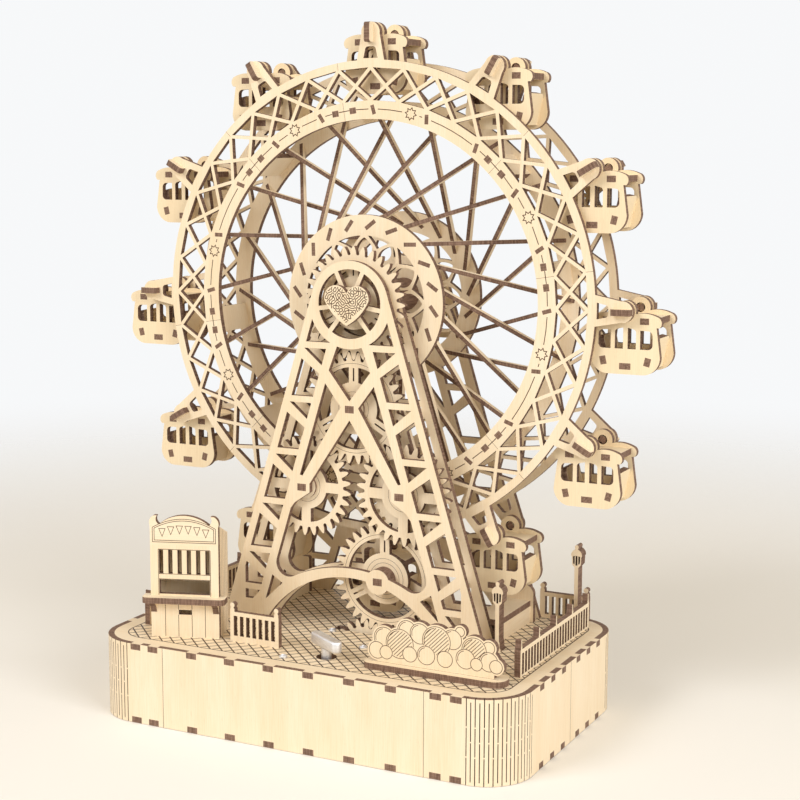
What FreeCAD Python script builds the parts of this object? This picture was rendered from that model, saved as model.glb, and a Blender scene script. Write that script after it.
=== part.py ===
"""Musical ferris wheel of laser-cut plywood on a drum-cornered base.

Frame: millimetres, +Z up, +X to the viewer's right, -Y to the front. The origin
is the middle of the underside of the base. The wheel turns about a Y axis.
"""
import FreeCAD, Part
import math
import os

os.makedirs("parts", exist_ok=True)
doc = FreeCAD.newDocument("ferris_wheel")

# Driving dimensions: alias, value, what it is. Millimetres and degrees.
SIZES = [
    # sheet stock and fits
    ("ply", 3.0, "thickness of every laser-cut board"),
    ("running_play", 0.08, "radial play between a shaft and what it runs in"),
    ("face_play", 0.1, "axial play beside a turning piece"),
    ("tab_play", 0.05, "play on each side of a tab in its notch"),
    # base box
    ("base_width", 226.0, "overall X"),
    ("base_depth", 144.0, "overall Y"),
    ("base_tall", 40.0, "floor to the deck's top"),
    ("base_corner", 23.0, "outer radius of the bent corners"),
    ("panel_half", 70.0, "half the length of the flat front and back panels"),
    ("front_tab", 5.6, "tab width along the front and back"),
    ("side_tab", 5.0, "tab width along the sides"),
    ("front_tab_first", 10.7, "first tab off the middle, front and back"),
    ("front_tab_pitch", 21.35, "tab pitch, front and back"),
    ("corner_tab_inner", 75.7, "tab beside the panel seam"),
    ("corner_tab_outer", 85.7, "tab beside the bent corner"),
    ("side_tab_first", 9.7, "first tab off the middle, sides"),
    ("side_tab_pitch", 13.85, "tab pitch, sides"),
    # towers
    ("hub_height", 204.93, "wheel axle above the floor"),
    ("leg_foot", 73.1, "outer edge of a leg at the deck"),
    ("head_radius", 21.0, "outer radius of the tower head"),
    ("head_bore", 16.9, "radius of the head's spoked opening"),
    ("head_hub", 8.2, "radius of the bearing hub in the head"),
    ("head_spoke", 2.2, "width of the head's spokes"),
    ("rail_width", 4.0, "outer rail, measured level"),
    ("inner_rail_out", 16.2, "leg edge to the inner rail"),
    ("inner_rail_in", 20.8, "leg edge to the inner rail's far side"),
    ("bar_width", 3.2, "crossbars of the legs"),
    ("brace_drop", 8.2, "crossbar to a brace's top at the inner rail"),
    ("brace_width", 4.3, "upright cut of a brace at the inner rail"),
    ("brace_root", 5.3, "upright cut of a brace at the outer rail"),
    ("foot_edge", 60.3, "outer edge of the two lowest bays off the middle"),
    ("foot_bay", 4.8, "height of the lowest bay"),
    ("foot_bay_low", 4.3, "length of the lowest bay's underside"),
    ("arch_crown", 69.0, "underside of the foot arch in the middle"),
    ("arch_half", 49.1, "half span of the foot arch at the deck"),
    ("arch_depth", 4.8, "depth of the arch in the middle"),
    ("foot_tab", 9.0, "tab under each foot"),
    ("front_plate_y", -10.0, "front face of the front tower's front plate"),
    ("inner_plate_y", 2.0, "front face of the front tower's inner plate"),
    ("back_plate_y", 60.0, "front face of the back tower's plate"),
    ("back_rail", 5.4, "outer rail of the back tower, measured level"),
    ("back_inner_out", 17.0, "leg edge to the back tower's inner rail"),
    ("back_inner_in", 21.5, "leg edge to that rail's far side"),
    ("heart_width", 24.0, "heart medallion"),
    ("heart_tall", 19.5, "heart medallion"),
    # gear train
    ("gear_module", 1.6125, "pitch diameter over teeth"),
    ("gear_backlash", 0.3, "play between meshing teeth at the pitch circle"),
    ("tooth_tip", 1.2, "addendum in modules"),
    ("tooth_root", 1.48, "dedendum in modules"),
    ("gear_front_y", -5.5, "front face of the front gear layer"),
    ("gear_back_y", -2.0, "front face of the back gear layer"),
    ("main_teeth", 32, "hub, centre and bottom gears"),
    ("side_teeth", 29, "left and right gears"),
    ("pinion_teeth", 24, "pinion behind the right gear"),
    ("drive_teeth", 18, "gear of the music movement"),
    ("side_axle_x", 27.0, "left and right gear axles off the middle"),
    ("bottom_axle_x", 15.3, "bottom gear axle off the middle"),
    ("drive_x", 4.0, "movement's drum and drive gear"),
    ("drive_z", 30.0, "movement's drum and drive gear"),
    ("strip_width", 4.9, "square axle strips, level"),
    ("strip_tall", 3.6, "square axle strips, upright"),
    ("bush_radius", 4.2, "round bushes the gears turn on"),
    ("collar_radius", 6.2, "collars beside the gears"),
    # wheel
    ("axle_radius", 4.0, "wheel axle"),
    ("wheel_middle_y", 29.8, "middle plane of the wheel"),
    ("ring_gap", 28.4, "clear distance between the two rings"),
    ("disc_gap", 41.7, "clear distance between the two hub discs"),
    ("rim_outer", 116.9, "outer radius of a ring"),
    ("rim_lattice_out", 113.3, "lattice to the outer band"),
    ("rim_lattice_in", 97.6, "lattice to the inner band"),
    ("rim_inner", 88.5, "inner radius of a ring"),
    ("lattice_bar", 1.7, "width of the lattice bars"),
    ("lattice_nodes", 40, "lattice nodes round a ring"),
    ("rim_slots", 93.0, "radius of the slots in a ring"),
    ("disc_outer", 42.4, "outer radius of a hub disc"),
    ("disc_window", 32.3, "outer radius of the tracery"),
    ("disc_slots", 37.7, "radius of the slots in a hub disc"),
    ("spokes", 20, "spokes of one set"),
    ("spoke_first", 89.1, "first spoke slot of the front ring, degrees"),
    ("spoke_sweep", 30.1, "turn between the two ends of a spoke, degrees"),
    ("spoke_thick", 2.0, "thickness of the spoke strips"),
    ("rim_slot", 4.6, "length of the ring's spoke slots"),
    ("disc_slot", 6.5, "length of the disc's spoke slots"),
    ("board_tab", 3.5, "tabs of the cross boards"),
    ("board_tab_turn", 3.0, "cross board tab off its joint, degrees"),
    # gondolas
    ("gondolas", 12, "number of gondolas"),
    ("pivot_radius", 130.0, "gondola pivots from the axle"),
    ("arm_end", 5.0, "radius of the arm ends"),
    ("arm_root", 7.4, "half width of an arm at the rim"),
    ("pin_shank", 3.4, "pivot pin, along the arm"),
    ("pin_head", 9.5, "head of the pivot pin, along the arm"),
    ("pin_head_deep", 4.2, "head of the pivot pin, off the arm"),
    ("pin_short", 0.3, "end of the pivot pin inside its panel's face"),
    ("car_deep", 24.2, "gondola, front face to back face"),
    ("car_half", 16.7, "gondola half width at the belly"),
    ("car_neck", 14.8, "gondola half width under the eaves"),
    ("car_eave", 17.2, "gondola half width at the eaves"),
    ("car_drop", 29.4, "pivot to the gondola's underside"),
    ("sill_drop", 17.5, "pivot to the window sills"),
    # music movement
    ("key_x", 7.0, "winding arbor"),
    ("key_y", -47.0, "winding arbor"),
    ("key_hole", 5.0, "radius of the deck's hole round the arbor"),
    ("key_span", 24.0, "length of the winding key's bar"),
    ("key_wide", 5.5, "width of the winding key's bar"),
    ("key_tall", 5.5, "height of the winding key's bar"),
    ("key_rise", 4.5, "underside of the key's bar above the deck"),
    ("key_stem", 2.4, "radius of the key's stem"),
    ("key_turn", 32.0, "how far the key is turned at rest, degrees"),
    ("arbor_radius", 1.5, "winding arbor and drum shaft"),
    ("bed_thick", 1.5, "movement bedplate"),
    ("drum_radius", 5.0, "pinned drum"),
    ("screw_radius", 1.25, "movement screws"),
    ("screw_head", 2.0, "radius of the screw heads"),
    # booth
    ("booth_x", -86.3, "front left corner"),
    ("booth_y", -57.0, "front left corner"),
    ("booth_turn", 19.0, "turn about the vertical, degrees"),
    ("booth_width", 34.4, "booth"),
    ("booth_deep", 20.0, "booth"),
    ("booth_jamb", 4.4, "window frame at each side of the bars"),
    ("booth_bar", 2.5, "bars of the window"),
    ("booth_front_top", 56.0, "booth walls at the front, above the deck"),
    ("booth_back_top", 49.4, "booth walls at the back, above the deck"),
    ("counter_z", 18.0, "underside of the counter above the deck"),
    ("counter_out", 5.0, "counter's reach in front"),
    ("frame_top", 46.5, "top of the booth's window frame"),
    ("sign_top", 61.5, "top of the booth's sign"),
    # fences, lamps, planter, platforms
    ("fence_length", 91.0, "side fences"),
    ("fence_bays", 4, "bays of a side fence"),
    ("fence_rail", 13.0, "top of the side fences' rail above the deck"),
    ("fence_post", 17.8, "top of the side fences' posts above the deck"),
    ("fence_foot", 0.9, "underside of the side fences' gaps above the deck"),
    ("picket_gap", 2.4, "gap between pickets, side fences"),
    ("picket_pitch", 3.68, "picket pitch, side fences"),
    ("small_fence_length", 27.4, "fence beside the booth"),
    ("small_fence_rail", 15.0, "top of its rail above the deck"),
    ("small_fence_post", 19.6, "top of its posts above the deck"),
    ("small_fence_foot", 3.0, "underside of its gaps above the deck"),
    ("small_fence_gap", 2.2, "gap between its pickets"),
    ("small_fence_pitch", 3.53, "its picket pitch"),
    ("back_fence_length", 26.2, "fence in the back corner"),
    ("back_fence_rail", 12.8, "top of its rail above the deck"),
    ("back_fence_post", 17.5, "top of its posts above the deck"),
    ("back_fence_foot", 1.3, "underside of its gaps above the deck"),
    ("back_fence_gap", 2.1, "gap between its pickets"),
    ("back_fence_pitch", 3.7, "its picket pitch"),
    ("lamp_tall", 34.2, "lamp beside the front tower"),
    ("back_lamp_tall", 41.2, "lamp in the back corner"),
    ("planter_x", 65.0, "middle of the planter"),
    ("planter_y", -54.5, "front edge of the planter"),
    ("planter_width", 71.0, "planter"),
    ("planter_deep", 13.0, "planter"),
    ("bush_tall", 22.6, "flower bush above the planter"),
    ("platform_top", 11.5, "boarding platform above the deck"),
    ("platform_out", 71.5, "outer edge of a platform"),
    ("platform_in", 57.5, "inner edge of a platform"),
    ("platform_far", 54.6, "back face of the platforms"),
]

sheet = doc.addObject("Spreadsheet::Sheet", "Sizes")
for row, (alias, value, note) in enumerate(SIZES, start=1):
    sheet.set("A%d" % row, note)
    sheet.set("B%d" % row, str(value))
    sheet.setAlias("B%d" % row, alias)
doc.recompute()


def size(alias):
    """The value of one named size."""
    return float(sheet.get(alias))


PLY = size("ply")
DECK = size("base_tall")
HUB = (0.0, size("hub_height"))
FRONT_RING_Y = size("wheel_middle_y") - size("ring_gap") / 2 - PLY
BACK_RING_Y = size("wheel_middle_y") + size("ring_gap") / 2
FRONT_DISC_Y = size("wheel_middle_y") - size("disc_gap") / 2 - PLY
BACK_DISC_Y = size("wheel_middle_y") + size("disc_gap") / 2


# ---------------------------------------------------------------- outlines
# An outline is a list: a start point, then points reached by straight lines and
# ("arc", through, end) steps; it closes by itself.

def polar(radius, angle, centre=(0.0, 0.0)):
    """The point at a radius and an angle in degrees about a centre."""
    turn = math.radians(angle)
    return (centre[0] + radius * math.cos(turn), centre[1] + radius * math.sin(turn))


def moved(outline, move):
    """The outline with every point passed through move."""
    steps = []
    for step in outline:
        if step[0] == "arc":
            steps.append(("arc", move(step[1]), move(step[2])))
        else:
            steps.append(move(step))
    return steps


def shifted(outline, right, up):
    return moved(outline, lambda p: (p[0] + right, p[1] + up))


def mirrored(outline):
    """The outline's twin on the other side of the vertical axis."""
    return moved(outline, lambda p: (-p[0], p[1]))


def both_sides(outlines):
    return outlines + [mirrored(outline) for outline in outlines]


def turned(outline, angle, centre=(0.0, 0.0)):
    """The outline turned about a centre, counter-clockwise in degrees."""
    c, s = math.cos(math.radians(angle)), math.sin(math.radians(angle))
    return moved(outline, lambda p: (centre[0] + (p[0] - centre[0]) * c - (p[1] - centre[1]) * s,
                                     centre[1] + (p[0] - centre[0]) * s + (p[1] - centre[1]) * c))


def disc(radius, centre=(0.0, 0.0)):
    """A full circle as two half arcs."""
    x, z = centre
    return [(x + radius, z), ("arc", (x, z + radius), (x - radius, z)),
            ("arc", (x, z - radius), (x + radius, z))]


def box(left, low, right, high):
    return [(left, low), (right, low), (right, high), (left, high)]


def bar(centre, along, across, angle):
    """A rectangle about a centre with its long side at an angle."""
    outline = box(-along / 2, -across / 2, along / 2, across / 2)
    return shifted(turned(outline, angle), *centre)


def rounded(points, radii):
    """A polygon with its corners rounded; radii is one value or one per corner."""
    count = len(points)
    if not isinstance(radii, (list, tuple)):
        radii = [radii] * count
    outline = []
    for index in range(count):
        before, corner, after = points[index - 1], points[index], points[(index + 1) % count]
        if radii[index] <= 0:
            outline.append(corner)
            continue
        back = (before[0] - corner[0], before[1] - corner[1])
        ahead = (after[0] - corner[0], after[1] - corner[1])
        back_long, ahead_long = math.hypot(*back), math.hypot(*ahead)
        back = (back[0] / back_long, back[1] / back_long)
        ahead = (ahead[0] / ahead_long, ahead[1] / ahead_long)
        half = math.acos(max(-1.0, min(1.0, back[0] * ahead[0] + back[1] * ahead[1]))) / 2
        reach = min(radii[index] / math.tan(half), 0.49 * min(back_long, ahead_long))
        radius = reach * math.tan(half)
        middle = (back[0] + ahead[0], back[1] + ahead[1])
        length = math.hypot(*middle)
        nearest = radius / math.sin(half) - radius
        through = (corner[0] + middle[0] / length * nearest, corner[1] + middle[1] / length * nearest)
        outline.append((corner[0] + back[0] * reach, corner[1] + back[1] * reach))
        outline.append(("arc", through, (corner[0] + ahead[0] * reach, corner[1] + ahead[1] * reach)))
    return outline


def crossing(p, p_to, q, q_to):
    """Where the line through p and p_to meets the line through q and q_to."""
    a, b = (p_to[0] - p[0], p_to[1] - p[1]), (q_to[0] - q[0], q_to[1] - q[1])
    share = ((q[0] - p[0]) * b[1] - (q[1] - p[1]) * b[0]) / (a[0] * b[1] - a[1] * b[0])
    return (p[0] + share * a[0], p[1] + share * a[1])


def inset(points, amounts):
    """A counter-clockwise polygon with each side moved inward by its own amount."""
    sides = []
    for index, amount in enumerate(amounts):
        start, end = points[index], points[(index + 1) % len(points)]
        length = math.hypot(end[0] - start[0], end[1] - start[1])
        off = (-(end[1] - start[1]) / length * amount, (end[0] - start[0]) / length * amount)
        sides.append(((start[0] + off[0], start[1] + off[1]), (end[0] + off[0], end[1] + off[1])))
    return [crossing(*sides[index - 1], *sides[index]) for index in range(len(sides))]


def sector(inner, outer, start, stop, margin, centre=(0.0, 0.0)):
    """A ring sector whose straight sides stay margin away from its two radii."""
    def side(radius, angle, sign):
        return angle + sign * math.degrees(math.asin(margin / radius))
    inner_start, inner_stop = side(inner, start, 1), side(inner, stop, -1)
    outer_start, outer_stop = side(outer, start, 1), side(outer, stop, -1)
    return [polar(inner, inner_start, centre), polar(outer, outer_start, centre),
            ("arc", polar(outer, (outer_start + outer_stop) / 2, centre), polar(outer, outer_stop, centre)),
            polar(inner, inner_stop, centre),
            ("arc", polar(inner, (inner_start + inner_stop) / 2, centre), polar(inner, inner_start, centre))]


def edges(outline):
    """The lines and arcs of one outline, in the sketch plane."""
    def vector(point):
        return FreeCAD.Vector(point[0], point[1], 0)
    shapes = []
    here = outline[0]
    for step in outline[1:]:
        if step[0] == "arc":
            shapes.append(Part.Arc(vector(here), vector(step[1]), vector(step[2])))
            here = step[2]
        else:
            shapes.append(Part.LineSegment(vector(here), vector(step)))
            here = step
    if math.dist(here, outline[0]) > 1e-6:
        shapes.append(Part.LineSegment(vector(here), vector(outline[0])))
    return shapes


# ------------------------------------------------------------ document objects

def bind(item, at):
    """Ties the item's place to the sheet: at maps x, y and z to expressions."""
    for letter, expression in at.items():
        item.setExpression("Placement.Base." + letter, expression)


def sketch_on(body, plane, outlines, name):
    """A sketch on one of the body's own origin planes."""
    sketch = body.newObject("Sketcher::SketchObject", name)
    roles = {feature.Role: feature for feature in body.Origin.OriginFeatures}
    sketch.AttachmentSupport = [(roles[plane], "")]
    sketch.MapMode = "FlatFace"
    sketch.addGeometry([edge for outline in outlines for edge in edges(outline)], False)
    return sketch


def plate(name, plane, outlines, at, thickness="Sizes.ply"):
    """A flat board: its outline and openings in one sketch, padded to its thickness.

    On XZ_Plane the sketch reads x and z and the board grows towards +Y; on
    YZ_Plane it reads y and z and grows towards +X; on XY_Plane towards +Z.
    """
    body = doc.addObject("PartDesign::Body", name)
    body.Label = name
    pad = body.newObject("PartDesign::Pad", name + "_pad")
    pad.Profile = sketch_on(body, plane, outlines, name + "_sketch")
    pad.Profile[0].Visibility = False
    pad.setExpression("Length", thickness)
    pad.Reversed = plane == "XZ_Plane"
    body.Tip = pad
    bind(body, at)
    return body


def add_pad(body, plane, outlines, name, length, offset):
    """Another layer on the body: a pad that starts offset along the plane's normal."""
    sketch = sketch_on(body, plane, outlines, name + "_sketch")
    sketch.setExpression("AttachmentOffset.Base.z", offset)
    pad = body.newObject("PartDesign::Pad", name)
    pad.Profile = sketch
    pad.setExpression("Length", length)
    body.Tip = pad
    return pad


def rod(name, radius, length, at):
    """A round rod along +Y from its place; all arguments are expressions."""
    item = doc.addObject("Part::Cylinder", name)
    item.Label = name
    item.setExpression("Radius", radius)
    item.setExpression("Height", length)
    item.Placement.Rotation = FreeCAD.Rotation(FreeCAD.Vector(1, 0, 0), -90)
    bind(item, at)
    return item


def post(name, radius, length, at):
    """A round rod along +Z from its place."""
    item = doc.addObject("Part::Cylinder", name)
    item.Label = name
    item.setExpression("Radius", radius)
    item.setExpression("Height", length)
    bind(item, at)
    return item


def block(name, wide, deep, tall, at):
    """A box from its lowest corner."""
    item = doc.addObject("Part::Box", name)
    item.Label = name
    item.setExpression("Length", wide)
    item.setExpression("Width", deep)
    item.setExpression("Height", tall)
    bind(item, at)
    return item


def cut(name, base, tool):
    item = doc.addObject("Part::Cut", name)
    item.Label = name
    item.Base = base
    item.Tool = tool
    return item


def fuse(name, members):
    item = doc.addObject("Part::MultiFuse", name)
    item.Label = name
    item.Shapes = members
    return item


def group(name, members):
    """Several separate solids that share one node."""
    item = doc.addObject("Part::Compound", name)
    item.Label = name
    item.Links = members
    return item


def collar(name, outer, bore, length, at):
    """A ring along +Y."""
    return cut(name, rod(name + "_round", outer, length, at), rod(name + "_bore", bore, length, at))


nodes = []


def keep(item):
    """Marks the item as a sub-part of the toy."""
    nodes.append(item)
    return item


# ------------------------------------------------------------------- base box

def front_tabs():
    """Tab places along the front panel's own stretch."""
    first, pitch = size("front_tab_first"), size("front_tab_pitch")
    return [sign * (first + pitch * index) for sign in (-1, 1) for index in range(3)]


def corner_tabs():
    return [size("corner_tab_inner"), size("corner_tab_outer")]


def side_tabs():
    return [size("side_tab_first") + size("side_tab_pitch") * index for index in range(3)]


def tabbed_board():
    """Plan of the deck and the bottom: inside the walls, with tabs out through them."""
    half_x, half_y = size("base_width") / 2 - PLY, size("base_depth") / 2 - PLY
    radius = size("base_corner") - PLY
    along_x = sorted(front_tabs() + [sign * x for sign in (-1, 1) for x in corner_tabs()])
    along_y = sorted(sign * y for sign in (-1, 1) for y in side_tabs())
    quarter = radius * (1 - math.sqrt(0.5))
    x_tab, y_tab = size("front_tab") / 2, size("side_tab") / 2
    outline = [(-half_x + radius, -half_y)]
    for x in along_x:
        outline += [(x - x_tab, -half_y), (x - x_tab, -half_y - PLY), (x + x_tab, -half_y - PLY),
                    (x + x_tab, -half_y)]
    outline += [(half_x - radius, -half_y),
                ("arc", (half_x - quarter, -half_y + quarter), (half_x, -half_y + radius))]
    for y in along_y:
        outline += [(half_x, y - y_tab), (half_x + PLY, y - y_tab), (half_x + PLY, y + y_tab),
                    (half_x, y + y_tab)]
    outline += [(half_x, half_y - radius),
                ("arc", (half_x - quarter, half_y - quarter), (half_x - radius, half_y))]
    for x in reversed(along_x):
        outline += [(x + x_tab, half_y), (x + x_tab, half_y + PLY), (x - x_tab, half_y + PLY),
                    (x - x_tab, half_y)]
    outline += [(-half_x + radius, half_y),
                ("arc", (-half_x + quarter, half_y - quarter), (-half_x, half_y - radius))]
    for y in reversed(along_y):
        outline += [(-half_x, y + y_tab), (-half_x - PLY, y + y_tab), (-half_x - PLY, y - y_tab),
                    (-half_x, y - y_tab)]
    outline += [(-half_x, -half_y + radius),
                ("arc", (-half_x + quarter, -half_y + quarter), (-half_x + radius, -half_y))]
    return outline


def screw_places():
    """The three movement screws, about the winding arbor."""
    x, y = size("key_x"), size("key_y")
    return [(x - 18.0, y - 10.0), (x - 17.8, y + 38.7), (x + 9.1, y + 20.4)]


def drive_slot():
    """The deck's slot round the part of the drive gear that stands above it."""
    tip = size("gear_module") * (size("drive_teeth") / 2 + size("tooth_tip"))
    rise = DECK - PLY - size("drive_z")
    half = math.sqrt(tip * tip - rise * rise) + 1.5
    middle = size("drive_x")
    return box(middle - half, size("gear_back_y") - 2.5, middle + half, size("gear_back_y") + PLY + 1.0)


def foot_tab_places():
    """Tab middles under the four feet of a tower plate."""
    foot = size("leg_foot") - 4.0 - size("foot_tab") / 2
    return [-foot, foot]


def foot_slots():
    """The deck's slots for the feet of the three tower plates."""
    half, play = size("foot_tab") / 2, size("tab_play")
    slots = []
    for alias in ("front_plate_y", "inner_plate_y", "back_plate_y"):
        for x in foot_tab_places():
            slots.append(box(x - half - play, size(alias) - play, x + half + play, size(alias) + PLY + play))
    return slots


def base_deck():
    openings = [disc(size("key_hole"), (size("key_x"), size("key_y"))), drive_slot()] + foot_slots()
    openings += [disc(size("screw_radius") + size("tab_play"), place) for place in screw_places()]
    return plate("base_deck", "XY_Plane", [tabbed_board()] + openings, {"z": "Sizes.base_tall - Sizes.ply"})


def notched_panel():
    """A flat wall panel with notches for the tabs along its top and bottom."""
    half, tall = size("panel_half"), DECK
    notch = size("front_tab") / 2 + size("tab_play")
    outline = [(-half, 0.0)]
    for x in sorted(front_tabs()):
        outline += [(x - notch, 0.0), (x - notch, PLY), (x + notch, PLY), (x + notch, 0.0)]
    outline += [(half, 0.0), (half, tall)]
    for x in sorted(front_tabs(), reverse=True):
        outline += [(x + notch, tall), (x + notch, tall - PLY), (x - notch, tall - PLY), (x - notch, tall)]
    outline.append((-half, tall))
    return outline


def bent_plan(outer_gap):
    """Plan of the bent wall of the front right corner, from the panel seam to mid side.

    outer_gap leaves out the notches of the edge layers when it is true.
    """
    half_x, half_y, radius = size("base_width") / 2, size("base_depth") / 2, size("base_corner")
    quarter, inner_quarter = radius * (1 - math.sqrt(0.5)), (radius - PLY) * (1 - math.sqrt(0.5))
    x_notch = size("front_tab") / 2 + size("tab_play")
    y_notch = size("side_tab") / 2 + size("tab_play")
    seam = size("panel_half")
    if not outer_gap:
        start_x, end_y = seam, 0.0
    else:
        start_x, end_y = size("corner_tab_outer") + x_notch, -side_tabs()[-1] - y_notch
    bend = [(start_x, -half_y), (half_x - radius, -half_y),
            ("arc", (half_x - quarter, -half_y + quarter), (half_x, -half_y + radius)),
            (half_x, end_y), (half_x - PLY, end_y), (half_x - PLY, -half_y + radius),
            ("arc", (half_x - PLY - inner_quarter, -half_y + PLY + inner_quarter),
             (half_x - radius, -half_y + PLY)), (start_x, -half_y + PLY)]
    if not outer_gap:
        return [bend]
    stops_x = [seam] + [x + side for x in corner_tabs() for side in (-x_notch, x_notch)]
    stops_y = [0.0] + [-y + side for y in side_tabs() for side in (y_notch, -y_notch)]
    pieces = [bend]
    for first, last in zip(stops_x[0:-1:2], stops_x[1::2]):
        pieces.append(box(first, -half_y, last, -half_y + PLY))
    for first, last in zip(stops_y[0:-1:2], stops_y[1::2]):
        pieces.append(box(half_x - PLY, last, half_x, first))
    return pieces


def base_corner(name, flip_x, flip_y):
    """One bent corner wall, cut through with hairline slits on the real toy."""
    def flip(outline):
        return moved(outline, lambda p: (p[0] * flip_x, p[1] * flip_y))
    full = [flip(outline) for outline in bent_plan(False)]
    notched = [flip(outline) for outline in bent_plan(True)]
    body = plate(name, "XY_Plane", notched, {})
    add_pad(body, "XY_Plane", full, name + "_wall", "Sizes.base_tall - 2 * Sizes.ply", "Sizes.ply")
    add_pad(body, "XY_Plane", notched, name + "_top", "Sizes.ply", "Sizes.base_tall - Sizes.ply")
    return body


def base_box():
    keep(plate("base_bottom", "XY_Plane", [tabbed_board()], {}))
    keep(base_deck())
    keep(plate("base_front_panel", "XZ_Plane", [notched_panel()], {"y": "-Sizes.base_depth / 2"}))
    keep(plate("base_back_panel", "XZ_Plane", [notched_panel()], {"y": "Sizes.base_depth / 2 - Sizes.ply"}))
    corners = [("corner_front_right", 1, 1), ("corner_front_left", -1, 1),
               ("corner_back_right", 1, -1), ("corner_back_left", -1, -1)]
    keep(group("base_corner_walls", [base_corner(*corner) for corner in corners]))


# --------------------------------------------------------------------- towers

LEG_LEAN = (size("leg_foot") * HUB[1] - size("leg_foot") * DECK - size("head_radius") * math.sqrt(
    size("leg_foot") ** 2 + (HUB[1] - DECK) ** 2 - size("head_radius") ** 2)) / (
    (HUB[1] - DECK) ** 2 - size("head_radius") ** 2)
CROSSBARS = [184.0, 156.7, 129.7, 103.8, 77.8, 58.0]


def leg(height, inward=0.0):
    """Level distance from the middle to the leg's outer edge, less inward."""
    return size("leg_foot") - LEG_LEAN * (height - DECK) - inward


def on_rail(height, inward):
    return (leg(height, inward), height)


def arch(half, crown, foot):
    """Centre height and radius of the arc through the crown and (half, foot)."""
    rise = crown - foot
    radius = (half * half + rise * rise) / (2 * rise)
    return crown - radius, radius


def tower_outline():
    """Two legs, a round head and the arch between the feet, with tabs below."""
    tangent = math.degrees(math.atan(LEG_LEAN))
    top = polar(size("head_radius"), tangent, HUB)
    half = size("foot_tab") / 2
    left_tab, right_tab = foot_tab_places()
    arch_half = size("arch_half")
    return [(arch_half, DECK), (right_tab - half, DECK), (right_tab - half, DECK - PLY),
            (right_tab + half, DECK - PLY), (right_tab + half, DECK), (size("leg_foot"), DECK), top,
            ("arc", (0.0, HUB[1] + size("head_radius")), (-top[0], top[1])), (-size("leg_foot"), DECK),
            (left_tab - half, DECK), (left_tab - half, DECK - PLY), (left_tab + half, DECK - PLY),
            (left_tab + half, DECK), (-arch_half, DECK),
            ("arc", (0.0, size("arch_crown")), (arch_half, DECK))]


def head_openings(spoke_angles):
    """The sectors between the spokes of the head, round the bearing hub."""
    openings = []
    for index, start in enumerate(spoke_angles):
        stop = spoke_angles[(index + 1) % len(spoke_angles)]
        if stop <= start:
            stop += 360.0
        openings.append(sector(size("head_hub"), size("head_bore"), start, stop, size("head_spoke") / 2, HUB))
    openings.append(disc(size("axle_radius") + size("running_play"), HUB))
    return openings


def leg_bays(rail, gap):
    """The openings between the two rails of the right leg, bay by bay.

    rail is the outer rail's width and gap the leg edge to the inner rail.
    """
    bar_half, edge = size("bar_width") / 2, size("foot_edge")
    drop, width, root = size("brace_drop"), size("brace_width"), size("brace_root")
    bays = []
    for upper, lower in zip(CROSSBARS[:-1], CROSSBARS[1:]):
        top, low = upper - bar_half, lower + bar_half
        bays.append([on_rail(top, rail), on_rail(top, gap), on_rail(top - drop, gap)])
        bay = [on_rail(top - root, rail), on_rail(top - drop - width, gap), on_rail(low, gap)]
        if leg(low, rail) > edge:
            bay += [(edge, low), (edge, DECK + (size("leg_foot") - rail - edge) / LEG_LEAN)]
        else:
            bay.append(on_rail(low, rail))
        bays.append(bay)
    top = CROSSBARS[-1] - bar_half
    low = top - size("foot_bay")
    bays.append([(edge, top), on_rail(top, gap), (edge - size("foot_bay_low"), low), (edge, low)])
    return bays


def on_circle(radius, height, centre):
    """The right-hand point of a circle at a height."""
    return (math.sqrt(radius * radius - (height - centre[1]) ** 2), height)


def head_triangle(rail):
    """The opening between the head's ring and the leg, over the top crossbar."""
    ring = size("head_radius") + 1.0
    low = CROSSBARS[0] + size("bar_width") / 2
    start = on_circle(ring, low, HUB)
    height = low
    while leg(height, rail) > on_circle(ring, height, HUB)[0]:
        height += 0.05
    end = on_circle(ring, height, HUB)
    middle = on_circle(ring, (low + height) / 2, HUB)
    return [start, on_rail(low, rail), end, ("arc", middle, start)]


def middle_diamond():
    """The pointed opening under the head, over the crossing."""
    ring = size("head_radius") + 1.0
    top = CROSSBARS[0]
    corner = on_circle(ring, top, HUB)
    side = leg(CROSSBARS[0] - 12.0, size("inner_rail_in"))
    return [(-corner[0], top), ("arc", (0.0, HUB[1] - ring), corner), (side, top - 12.0), (0.0, top - 26.6),
            (-side, top - 12.0)]


def strut_slivers():
    """The long openings beside the struts that spread from the crossing."""
    inner = size("inner_rail_in")
    return [[(4.8, 154.2), on_rail(165.5, inner), on_rail(118.6, inner), (leg(118.2, inner) - 1.6, 118.2)]]


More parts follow.
